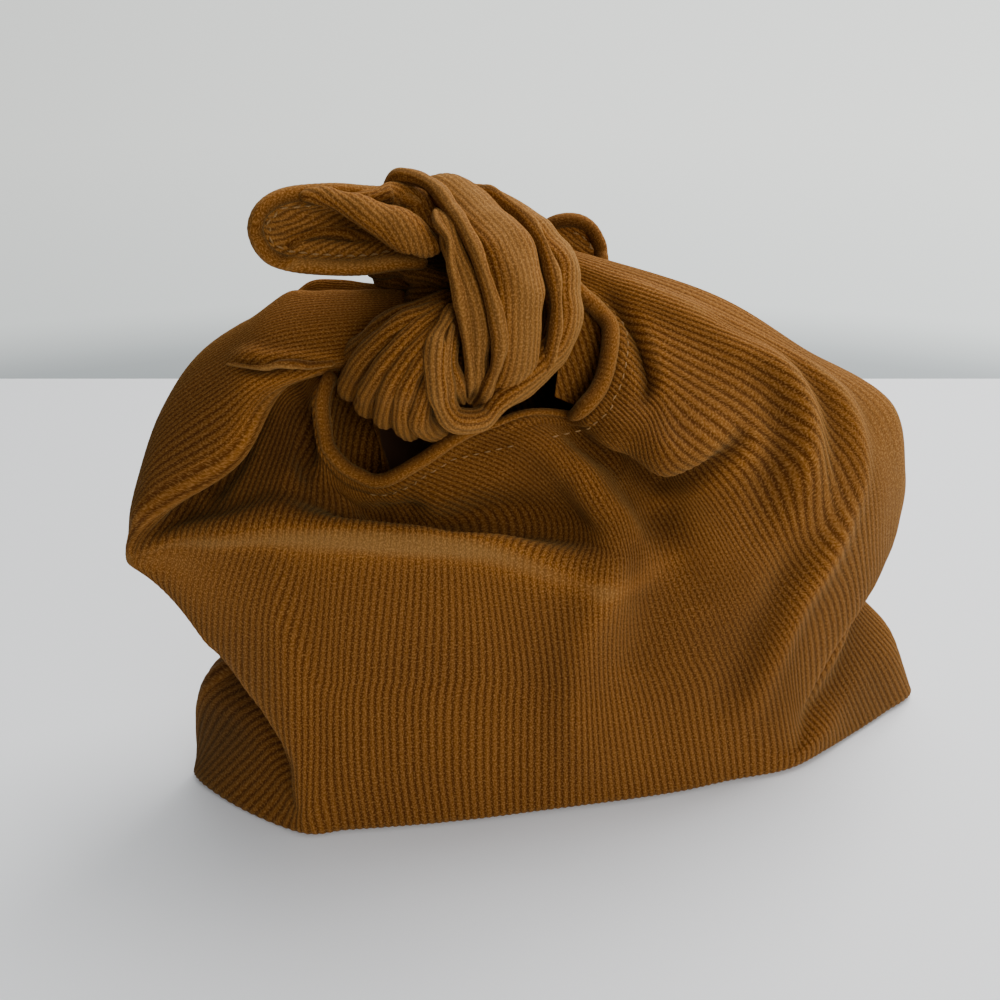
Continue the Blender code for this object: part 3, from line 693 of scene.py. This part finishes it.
def make_stitches(name, line, outward, material, thickness=0.28, share=0.68):
    """Short stitches along a line of points, lying on a surface that faces outward. share is
    how much of the pitch each one fills."""
    length = lengths_along(line)
    points, faces = [], []
    sides, rings = 6, 5
    arch = np.sin(np.linspace(0, math.pi, rings))
    size = thickness * (0.35 + 0.65 * arch)   # thinner at its ends
    angle = np.arange(sides) * 2 * math.pi / sides
    for start in np.arange(0.5, length[-1] - STITCH_PITCH, STITCH_PITCH):
        at = start + np.linspace(0, STITCH_PITCH * share, rings)
        path, up = read_at(at, length, line), read_at(at, length, outward)
        path = path + up * (STITCH_ARCH * arch + STITCH_LIFT)[:, None]
        ahead = unit(np.gradient(path, axis=0))
        side = unit(np.cross(ahead, up))
        up = np.cross(side, ahead)
        first = len(points) * rings * sides
        points.append(rings_round(path, side, up, size[:, None] * np.cos(angle),
                                  size[:, None] * np.sin(angle)))
        faces += [[first + corner for corner in face] for face in tube_faces(rings, sides)]
    return mesh_piece(name, np.concatenate(points), faces, material)


# ---------------------------------------------------------------- the knot

# A fold is a band of gathered cloth. Each row is a section of it: the x, y and z of the crest of
# its outer face, its width across and its thickness through; a row without these two has those of
# the row before. flat below 1 squares the section, slant is how far its ribs drift sideways along
# it, and its painted-light value sets how much painted shade or painted highlight it gets.
KNOT_MIDDLE = (-33, -2, 141)
KNOT_RIB = 1.55  # the knot's ribs are drawn together
FOLD_STEP = 0.8  # from one ring of a fold to the next
FOLD_SIDES_PER_MM = 1.9
FOLD_PAINTED_LIGHT = 0.66  # painted light on a fold, unless the fold says
FOLD_PAINTED_SWING = 0.42  # how much more painted highlight the fold's outer crest gets than its sides; its inner side gets painted shade
LEAF_PAINTED_LIGHT = 0.78  # painted light on a free end
FOLD_CRUMPLE = (7.0, 0.9)  # how far apart its unevenness is, and how high
HEM_RIB_SHARE = 0.3  # how strong the ribs are where they run round a hem
FOLDS = dict(
    over_band=dict(flat=0.85, rows=(
        (-42, 12, 112, 16, 7), (-44, 18, 128, 18, 8), (-45, 19, 146), (-44, 12, 162, 16, 8),
        (-41, 3, 170, 14, 8), (-38, -4, 172, 12, 8), (-33.5, -10, 169.5, 14, 9), (-29.5, -18, 166),
        (-25.5, -25, 162), (-23.5, -29, 156), (-22.5, -32, 149), (-22.5, -32, 141, 13, 9),
        (-22.5, -30, 132, 12, 9), (-24.5, -27, 124, 10, 8), (-29, -22, 117, 5, 6))),
    over_hem=dict(rows=(
        (-48, 11, 114, 2, 4), (-50.5, 15, 130, 2.6, 4), (-51.5, 16, 146, 3, 4),
        (-51.5, 11, 158.5, 3.2, 4), (-51.5, 5, 166, 3.4, 4), (-51.5, -1, 171), (-49, -4, 174),
        (-45, -8, 174, 3.6, 4), (-41, -13, 172), (-38, -20, 168), (-36, -26, 164),
        (-34, -30, 159, 3.4, 4), (-32, -33, 153), (-30, -35, 145), (-29, -35, 138),
        (-30, -33, 130, 3.2, 4), (-32, -30, 123, 3, 4), (-34, -25, 118, 2.6, 4))),
    over_strip=dict(rows=(
        (-42, -14, 167, 3, 5), (-40, -22, 165, 4.5, 6), (-39, -27, 160, 5.5, 7),
        (-37, -30, 154, 6, 7), (-35, -32, 147, 6.5, 7), (-34, -32, 140), (-34, -31, 132, 6, 7),
        (-34, -28, 124, 5, 6), (-35, -22, 118, 4, 5))),
    strip_hem=dict(rows=(
        (-42, -18, 167, 2, 3), (-42, -23, 165, 2.4, 3), (-40, -27, 162), (-40, -30, 157),
        (-39, -33, 151), (-38, -34, 144), (-37, -34, 137), (-36, -32, 129, 2.2, 3),
        (-36, -28, 122, 2, 3))),
    side_roll=dict(flat=0.9, rows=(
        (-24, 18, 134, 16, 9), (-28, 17, 150), (-31, 10, 162, 14, 9), (-28, 2, 168, 9, 8),
        (-21, -2, 166, 11.5, 8), (-15, -6, 163, 11.5, 9), (-10, -10, 158, 11.5, 10), (-6, -14, 152),
        (-6, -17, 145), (-6, -19, 138), (-9, -21, 131, 11.5, 9), (-13, -23, 127.5, 10.5, 8),
        (-19, -26, 123.5, 8.5, 7), (-26, -29, 120.5, 5, 6), (-31, -32, 117, 5.5, 6),
        (-37, -35, 117, 6, 6), (-42, -37, 119, 5.5, 6), (-45, -38, 124, 5, 6), (-46, -39, 130),
        (-46, -38, 136), (-45, -36, 141), (-42, -32, 144, 4, 5), (-38, -26, 147, 4, 4))),
    side_hem=dict(rows=(
        (-30.5, 2, 169, 2, 4), (-25.5, -6, 169, 2.6, 4), (-19.5, -12, 165), (-15.5, -18, 160),
        (-13.5, -22, 154, 2.8, 4), (-12.5, -25, 147), (-12.5, -26, 140, 2.6, 4),
        (-13.5, -26, 133, 2.4, 4), (-15.5, -26, 127, 2, 4))),
    loop_rim=dict(rows=(
        (-40, -31, 144, 2, 4), (-42, -35, 140, 2.6, 4), (-43, -37, 135, 3, 4), (-43, -37, 129),
        (-42, -36, 123), (-39, -35, 119), (-35, -33, 117, 2.4, 4))),
    inner_pleat=dict(painted_light=0.6, rows=(
        (-38, -26, 144, 3, 5), (-41, -31, 139, 4, 5), (-42, -33, 133), (-40, -32, 127),
        (-37, -28, 120, 3, 5))),
    gather_1=dict(flat=0.9, painted_light=0.32, rows=(
        (-36, -18, 146, 5, 6), (-45, -22, 144, 6, 7), (-53.5, -22, 140.5, 7, 7),
        (-59.5, -19, 135.5), (-64.5, -12, 129.5), (-66.5, -4, 122.5), (-63.5, 8, 116.5, 9, 8))),
    gather_2=dict(painted_light=0.42, rows=(
        (-38, -22, 145, 4, 5), (-46, -28, 144, 5, 6), (-54.5, -28, 140.5, 6, 7),
        (-60.5, -25, 134.5, 6.5, 7), (-64.5, -18, 126.5), (-65.5, -9, 118.5, 7, 7),
        (-61.5, 6, 112.5, 9, 8))),
    gather_3=dict(painted_light=0.5, rows=(
        (-39, -24, 145, 4, 5), (-47, -31, 143, 5, 6), (-53.5, -32, 137.5, 5.5, 7),
        (-58.5, -29, 130.5, 6, 7), (-61.5, -22, 122.5), (-61.5, -12, 114.5, 7, 7),
        (-56.5, 4, 110.5, 9, 8))),
    gather_4=dict(painted_light=0.5, rows=(
        (-40, -26, 144, 4, 5), (-46, -33, 141, 5, 6), (-51.5, -34, 135.5, 5.5, 7),
        (-55.5, -32, 128.5, 6, 7), (-57.5, -25, 119.5), (-56.5, -14, 111.5, 7, 7),
        (-51.5, 4, 108.5, 9, 8))),
    gather_5=dict(painted_light=0.5, rows=(
        (-41, -28, 143, 3, 5), (-47, -35, 137, 4, 6), (-51.5, -35, 130.5, 5, 7),
        (-53.5, -31, 122.5, 6, 7), (-52.5, -23, 113.5, 6.5, 7), (-50.5, -14, 107.5, 7, 7),
        (-45.5, 2, 105.5, 9, 8))),
    gather_6=dict(painted_light=0.5, rows=(
        (-46, -36, 133, 3, 5), (-48, -35, 126, 4.5, 6), (-49.5, -30, 117.5, 6, 7),
        (-46.5, -22, 110.5, 7.5, 7), (-41.5, -12, 105.5, 9, 7), (-38.5, 0, 104.5))),
    lower_roll=dict(painted_light=0.3, rows=(
        (-58, 5, 150, 6, 6), (-52, 0, 151), (-48, -6, 150), (-43, -12, 150, 5, 6),
        (-38, -16, 149, 4, 6))),
    lower_roll_2=dict(painted_light=0.25, rows=(
        (-56, 8, 146, 7, 6), (-50, 2, 146, 6, 6), (-45, -5, 145), (-40, -12, 145),
        (-36, -16, 146, 4, 6))),
    upper_layer=dict(flat=0.9, painted_light=0.45, rows=(
        (-62, -8, 170, 5, 4), (-56, -9, 170.5, 6, 4), (-51, -7, 171, 7, 6), (-46, -8, 169, 8, 7),
        (-43, -12, 163, 8, 6), (-40, -15, 159, 6, 5))),
    leaf_fold=dict(flat=0.9, painted_light=0.62, slant=-0.35, rows=(
        (-73, -12, 171, 2.5, 2.5), (-68, -13, 171, 3.5, 3.5), (-64, -15, 170, 4.5, 4.5),
        (-58, -17, 167.5, 7, 5.5), (-53, -19, 165.5, 9, 7), (-49, -21, 162.5, 10, 8),
        (-46, -22, 158.5, 9, 8), (-44, -20, 154.5, 7, 6))),
    leaf_pleat=dict(painted_light=0.6, rows=(
        (-79, -9, 158, 2, 2), (-74, -7, 160, 3, 3), (-67, -5, 161, 3.4, 3), (-60, -4, 160),
        (-53, -5, 157, 3, 3))),
    facing_edge=dict(painted_light=0.7, rows=(
        (-57, 2, 114, 1.2, 1.2), (-57, 1, 108, 1.3, 1.2), (-56, 0, 101), (-55, 0, 95),
        (-54, 0, 89, 1.2, 1.2))),
    strap_edge=dict(painted_light=0.8, rows=(
        (-94, -8, 128.6, 1.2, 1.4), (-92.5, -10, 128.8, 1.4, 1.6), (-90, -12.4, 129.0, 1.8, 1.8),
        (-85, -15.6, 129.2), (-81, -16, 129.8), (-76, -16, 129.3), (-73, -15, 128.5),
        (-67, -13.4, 128.2, 1.6, 1.6))),
    # heart and core: masses that fill the knot's middle, painted wholly in shade
    heart=dict(painted_light=0, rows=(
        (-53, -4, 138, 20, 20), (-44, -12, 141, 28, 28), (-32, -16, 142, 32, 30),
        (-19, -11, 140, 24, 24))),
    core=dict(painted_light=0, rows=(
        (-48, -3, 127, 14, 14), (-40, -6, 122, 18, 18), (-30, -7, 121), (-21, -5, 125, 14, 14))),
    right_root=dict(flat=0.9, painted_light=0.5, rows=(
        (-30, 12, 152, 12, 8), (-22, 16, 156, 12, 7), (-14, 16, 157, 11, 6), (-8, 15, 155, 9, 5))),
)
EDGES_OF_BAG = ("facing_edge", "strap_edge")  # the folds that are edges of the bag's own cloth

# The free ends are cupped leaves: a row a section from the root to the tip, with the middle of
# its lower and upper edges, and how far the cloth between them bellies away from the front.
LEFT_LEAF = (
    ((-43, -12, 153), (-43, -8, 165), 5),
    ((-51, -12, 153), (-49, -7, 168), 7),
    ((-59, -11, 152), (-57, -7, 169), 7),
    ((-68, -11, 152.5), (-65, -8, 170), 6),
    ((-76, -12, 154), (-75.5, -10, 169.8), 5),
    ((-81, -13, 156.5), (-81.2, -12, 167.5), 3),
    ((-83.5, -13, 160.5), (-83.5, -13, 163.7), 1),
)
RIGHT_LEAF = (
    ((-10, 13, 147), (-9, 15, 153), 2),
    ((-5, 12, 145), (-4, 15, 155.5), 3),
    ((1, 12, 143), (1.5, 15, 155.5), 3),
    ((6, 12, 142.5), (5.5, 15, 153), 2),
    ((8, 12, 145), (8, 14, 148.5), 1),
)
LEAF_GRID = (90, 100)
LEAF_HALF = 0.9  # half the thickness of its double cloth
LEAF_RIBS = (0.55, 0.85)  # its ribs are counted along it and across it, so they run slantwise
LEAF_CREASE = 0.5  # height of the creases along it
CREASE_TURNS = (0.05, 1.1)  # radians of their wave for each mm along and across
CREASE_START = (4, 14)  # from the root to where they begin, and to where they are full
LEAF_HEM = 3.6  # thickness of the roll round a free end
LEAF_STITCH_LINE = 3.4  # from the middle of that roll to its row of stitches
LEAF_STITCH_START = 7  # how far from the root that row begins and ends
LEAF_MIDDLE_ROWS = 68  # the leaf's middle line, as far as the stitches draw in to it


def fold_surface(fold, across_ribs):
    """Rings of one fold with its ribs, each point's place on the cloth, the ribs' height, which
    way the rings face, and how near each of their points is to the crest."""
    rows = []
    for row in fold["rows"]:
        rows.append(row if len(row) == 5 else (*row, *rows[-1][3:]))
    coarse = spline(rows, np.linspace(0, len(rows) - 1, 200))
    length = lengths_along(coarse[:, :3])
    at = np.linspace(0, length[-1], max(8, int(length[-1] / FOLD_STEP)))
    fine = read_at(at, length, coarse)
    crest, across, through = fine[:, :3], fine[:, 3], fine[:, 4]
    ahead = unit(np.gradient(crest, axis=0))
    outward = crest - KNOT_MIDDLE
    outward = unit(outward - ahead * (outward * ahead).sum(1, keepdims=True))
    sideways = np.cross(outward, ahead)
    centre = crest - outward * through[:, None] * fold.get("sunk", 0.5)
    # both ends close to a rounded tip
    tip = np.minimum(at, length[-1] - at) / (through.mean() / 2)
    size = np.sqrt(np.clip(1 - (1 - np.clip(tip, 0, 1)) ** 2, 0.02, 1))

    sides = int(np.pi * (across.max() + through.max()) / 2 * FOLD_SIDES_PER_MM)
    angle = np.arange(sides) * 2 * math.pi / sides
    lift = np.sign(np.sin(angle)) * np.abs(np.sin(angle)) ** fold.get("flat", 1)
    ring = rings_round(centre, sideways, outward, (across / 2 * size)[:, None] * np.cos(angle),
                       (through / 2 * size)[:, None] * lift)
    gaps = np.linalg.norm(np.roll(ring, -1, 1) - ring, axis=2)
    round_it = np.cumsum(gaps, 1) - gaps
    place = round_it - round_it[:, sides // 4, None] + fold.get("slant", 0) * at[:, None]
    rib = rib_profile((at[:, None] + 0 * place if across_ribs else place) / KNOT_RIB + 0.5)
    if across_ribs:
        rib = RIB_MEAN + HEM_RIB_SHARE * (rib - RIB_MEAN)
    normals = grid_normals(ring, closed=True)
    facing = np.sign((normals * (ring - centre[:, None])).sum((1, 2)).sum())
    ring = ring + facing * normals * (rib * RIB_HEIGHT * size[:, None])[..., None]
    if not across_ribs:
        ring = crumpled(ring, normals * size[:, None, None], *FOLD_CRUMPLE)
    cloth = np.stack(np.broadcast_arrays(place * RIB / KNOT_RIB, at[:, None]), -1)
    return ring, cloth, rib, facing, np.sin(angle)


def fold_piece(name, fold, material, across_ribs=False):
    """A fold as a closed piece."""
    ring, cloth, rib, facing, lift = fold_surface(fold, across_ribs)
    rings, sides = ring.shape[:2]
    # painted highlight on the fold's outer crest, painted shade on its inner side
    painted_light = np.clip(fold.get("painted_light", FOLD_PAINTED_LIGHT) + FOLD_PAINTED_SWING * (lift - 0.5), 0, 1)
    faces = tube_faces(rings, sides)
    if facing < 0:
        faces = [face[::-1] for face in faces]
    return mesh_piece(name, ring, faces, material, cloth, rib, painted_light)


def leaf_grid(table, rows, columns):
    """A free end's cupped sheet, as a grid of points from root to tip and lower to upper edge."""
    values = np.array([(*lower, *upper, belly) for lower, upper, belly in table], float)
    fine = spline(values, np.linspace(0, len(values) - 1, rows))
    across = np.linspace(-1, 1, columns)
    share = (across[None, :, None] + 1) / 2
    sheet = fine[:, None, :3] * (1 - share) + fine[:, None, 3:6] * share
    return sheet + np.array([0.1, 1, 0]) * ((1 - across ** 2)[None, :] * fine[:, 6:7])[..., None]


def make_leaf(name, table, material, thread):
    """A free end: its cupped double cloth, the roll round its edge and the row of stitches."""
    rows, columns = LEAF_GRID
    sheet = leaf_grid(table, rows, columns)
    along = lengths_along(sheet)
    wide = lengths_along(sheet.transpose(1, 0, 2)).T
    rib = rib_profile((along * LEAF_RIBS[0] + wide * LEAF_RIBS[1]) / KNOT_RIB)
    normals = grid_normals(sheet)
    turned = normals[..., 1].mean() > 0   # away from the front
    if turned:
        normals = -normals
    wave = np.sin(wide * CREASE_TURNS[1] + along * CREASE_TURNS[0])
    creases = LEAF_CREASE * wave * step_up(along, *CREASE_START)
    front = sheet + normals * (rib * RIB_HEIGHT + creases + LEAF_HALF)[..., None]
    rear = sheet - normals * (rib * RIB_HEIGHT + LEAF_HALF)[..., None]
    near = grid_faces(rows, columns)
    if not turned:
        near = near[:, ::-1]
    index = np.arange(rows * columns).reshape(rows, columns)
    rim = np.concatenate([index[0], index[1:, -1], index[-1, -2::-1], index[-2:0:-1, 0]])
    sides = np.stack([rim, np.roll(rim, -1), np.roll(rim, -1) + rib.size, rim + rib.size], 1)
    faces = np.concatenate([near, near[:, ::-1] + rib.size, sides[:, ::-1] if turned else sides])
    leaf = mesh_piece(name, np.stack([front, rear]), faces.tolist(), material,
                      np.stack([np.stack([wide, along], -1)] * 2), np.stack([rib] * 2), LEAF_PAINTED_LIGHT)
    # the roll: along the lower edge, round the tip and back along the upper edge
    edge = np.concatenate([sheet[:, 0], sheet[-1, 1:-1:8], sheet[::-1, -1]])
    hem = make_hem(name + "_hem", edge, np.full(len(edge), LEAF_HEM), 30, 0, material)
    # the stitches: that line, short of the root, drawn in toward the leaf's middle line
    length = lengths_along(edge)
    outer = read_at(np.linspace(LEAF_STITCH_START, length[-1] - LEAF_STITCH_START, 90),
                    length, edge)
    centre = sheet[:LEAF_MIDDLE_ROWS:3, columns // 2]
    toward = centre[nearest_of(outer, centre)[0]] - outer
    drawn = outer + unit(toward) * LEAF_STITCH_LINE
    picked = nearest_of(drawn, front.reshape(-1, 3))[0]
    stitches = make_stitches(name + "_stitches", front.reshape(-1, 3)[picked],
                             normals.reshape(-1, 3)[picked], thread)
    return leaf, hem, stitches


def hem_thickness(around):
    """Thickness of the roll along the mouth: thin at the crossing, thick up the horn."""
    changes = (change * step_up(around, low, high) for change, low, high in HEM_CHANGES)
    return sum(changes, HEM_THICKNESS)


def make_hem(name, edge, thickness, count, sunk, material):
    """The roll along an edge, as its own soft tube through so many points of it."""
    length = lengths_along(edge)
    at = np.linspace(0, length[-1], count)
    sizes = np.interp(at, length, thickness)
    rows = [(*point, size, size) for point, size in zip(read_at(at, length, edge), sizes)]
    return fold_piece(name, dict(rows=rows, sunk=sunk), material, across_ribs=True)


# Four-cornered pieces of cloth: the lower left, lower right, upper left and upper right corner,
# how the middle bellies, rows and columns, how far the ribs are turned from upright in degrees,
# and their painted light, low for painted shade.
PATCHES = {
    "mouth_facing": (((-69, -6, 91), (-54, 0, 89), (-71, -4, 124), (-57, 2, 114)),
                     (0, 4, 0), (60, 50), -25, 0.3),
    "horn_collar": (((-11, -14, 116.5), (6, -9, 107), (-6, -6, 142), (11, -2, 138)),
                    (0, -3, 0), (60, 60), 30, 0.45),
    "lining_flap": (((-56, 3, 86), (-35, 6, 86), (-59, 5, 115), (-34, 9, 110)),
                    (0, 3, 0), (30, 30), 0, 0.5),
}
POCKET_COLUMNS, POCKET_ROWS = 240, 70
POCKET_MIDDLE = np.array([-8, 0, 0])
POCKET_HEIGHTS = (78, 70, 58, 42, 26, 12, 5)  # of its rings, from its sewn edge down
POCKET_GAP, POCKET_SHARE = 9, 0.80  # it hangs inside the cloth by so much, and by this share
POCKET_BOTTOM = (0.5, 0.02)  # rings that close its bottom, as shares of its last one
POCKET_FLOOR = 2.6
# The waves of its slack: height, turn for each mm along the girth and up, and start.
POCKET_WAVES = ((0.8, 0.21, 0.13, 0), (0.6, 0.37, -0.22, 1.0))


def make_patch(name, material):
    """One of PATCHES."""
    corners, belly, (rows, columns), rib_turn_deg, painted_light = PATCHES[name]
    low_left, low_right, high_left, high_right = (np.array(corner, float) for corner in corners)
    up = np.linspace(0, 1, rows)[:, None, None]
    side = np.linspace(0, 1, columns)[None, :, None]
    sheet = ((low_left * (1 - side) + low_right * side) * (1 - up)
             + (high_left * (1 - side) + high_right * side) * up)
    bow = np.sin(np.pi * side) * np.sin(np.pi * np.clip(up * 0.9 + 0.05, 0, 1))
    sheet = sheet + np.array(belly) * bow
    along, wide = lengths_along(sheet), lengths_along(sheet.transpose(1, 0, 2)).T
    turn = math.radians(rib_turn_deg)
    place = wide * math.cos(turn) + along * math.sin(turn)
    rib = rib_profile(place / RIB)
    sheet = sheet + grid_normals(sheet) * (rib * RIB_HEIGHT)[..., None]
    return mesh_piece(name, sheet, grid_faces(rows, columns), material,
                      np.stack([place, along], -1), rib, painted_light)


def make_lining(material):
    """The plain lining: a slack pocket inside the cloth, sewn to the facing under the mouth."""
    around = np.linspace(0, GIRTH, POCKET_COLUMNS + 1)[:-1]
    net = bag_net(around, np.linspace(0, 6.6, 60))   # the wall, as far up as the pocket
    rings = []
    for height in POCKET_HEIGHTS:
        ring = net[np.abs(net[..., 2] - height).argmin(0), np.arange(len(around))]
        out = (ring - POCKET_MIDDLE) * (1, 1, 0)
        reach = np.linalg.norm(out, axis=1, keepdims=True)
        share = np.minimum(1 - POCKET_GAP / np.maximum(reach, 10), POCKET_SHARE)
        rings.append(POCKET_MIDDLE + out * share + (0, 0, height))
    fine = spline(np.array(rings), np.linspace(0, len(rings) - 1, POCKET_ROWS))
    closing = [POCKET_MIDDLE + (fine[-1:] - POCKET_MIDDLE) * (share, share, 1)
               for share in POCKET_BOTTOM]
    fine = np.concatenate([fine, *closing])
    slack = sum(height * np.sin(around * along + fine[..., 2] * up + start)
                for height, along, up, start in POCKET_WAVES)
    fine = fine + grid_normals(fine, closed=True) * slack[..., None]
    fine[..., 2] = np.maximum(fine[..., 2], POCKET_FLOOR)
    return mesh_piece("lining_pocket", fine, grid_faces(*fine.shape[:2], closed=True), material)


def main():
    add_camera()
    add_surroundings()
    corduroy = corduroy_material("corduroy")
    thread = plain_material("thread", (0.42, 0.22, 0.06), 0.5)
    plain = plain_material("lining_cloth", (0.11, 0.040, 0.010), 0.8)

    front, net, normals, from_edge, hem, around = make_sheet(
        "front_panel", *FRONT_SPAN, FRONT_COLUMNS, FRONT_FOLDS, FRONT_DRIFT, corduroy)
    back, *_ = make_sheet("back_panel", FRONT_SPAN[1], FRONT_SPAN[0] + GIRTH, BACK_COLUMNS,
                          BACK_FOLDS, BACK_DRIFT, corduroy)
    row = np.abs(from_edge - STITCH_LINE).argmin(0)
    shows = np.any([(low < around) & (around < high) for low, high in STITCHES_SHOW], 0)
    sewn = np.flatnonzero(shows & (hem > 0.9))[::3]
    outward = normals[row[sewn], sewn]
    stitches = make_stitches("hem_stitches", net[row[sewn], sewn] + outward * 0.2, outward, thread,
                             thickness=0.2, share=0.55)
    rolled = hem > 0.1
    edge = net[-1, rolled]
    roll = make_hem("mouth_hem", edge, hem_thickness(around[rolled]),
                    int(lengths_along(edge)[-1] / 4), 0.5, corduroy)
    facing = make_patch("mouth_facing", corduroy)
    collar = make_patch("horn_collar", corduroy)
    flap = make_patch("lining_flap", plain)
    pocket = make_lining(plain)
    for piece in (front, back, facing, collar, roll, stitches):
        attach(piece, "root")
        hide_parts("bag_cloth")
    for piece in (pocket, flap):
        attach(piece, "root")
        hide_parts("lining")
    for name, fold in FOLDS.items():
        piece = fold_piece(name, fold, corduroy)
        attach(piece, "root")
        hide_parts("bag_cloth" if name in EDGES_OF_BAG else "knot")
    for node, table, cut in (("left_end", LEFT_LEAF, (0.0235, 0.044)),
                             ("right_end", RIGHT_LEAF, (0.0152, 0.020))):
        leaf, *trim = make_leaf(node + "_leaf", table, corduroy, thread)
        for piece in (leaf, *trim):
            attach(piece, "root")
            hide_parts(node)


main()
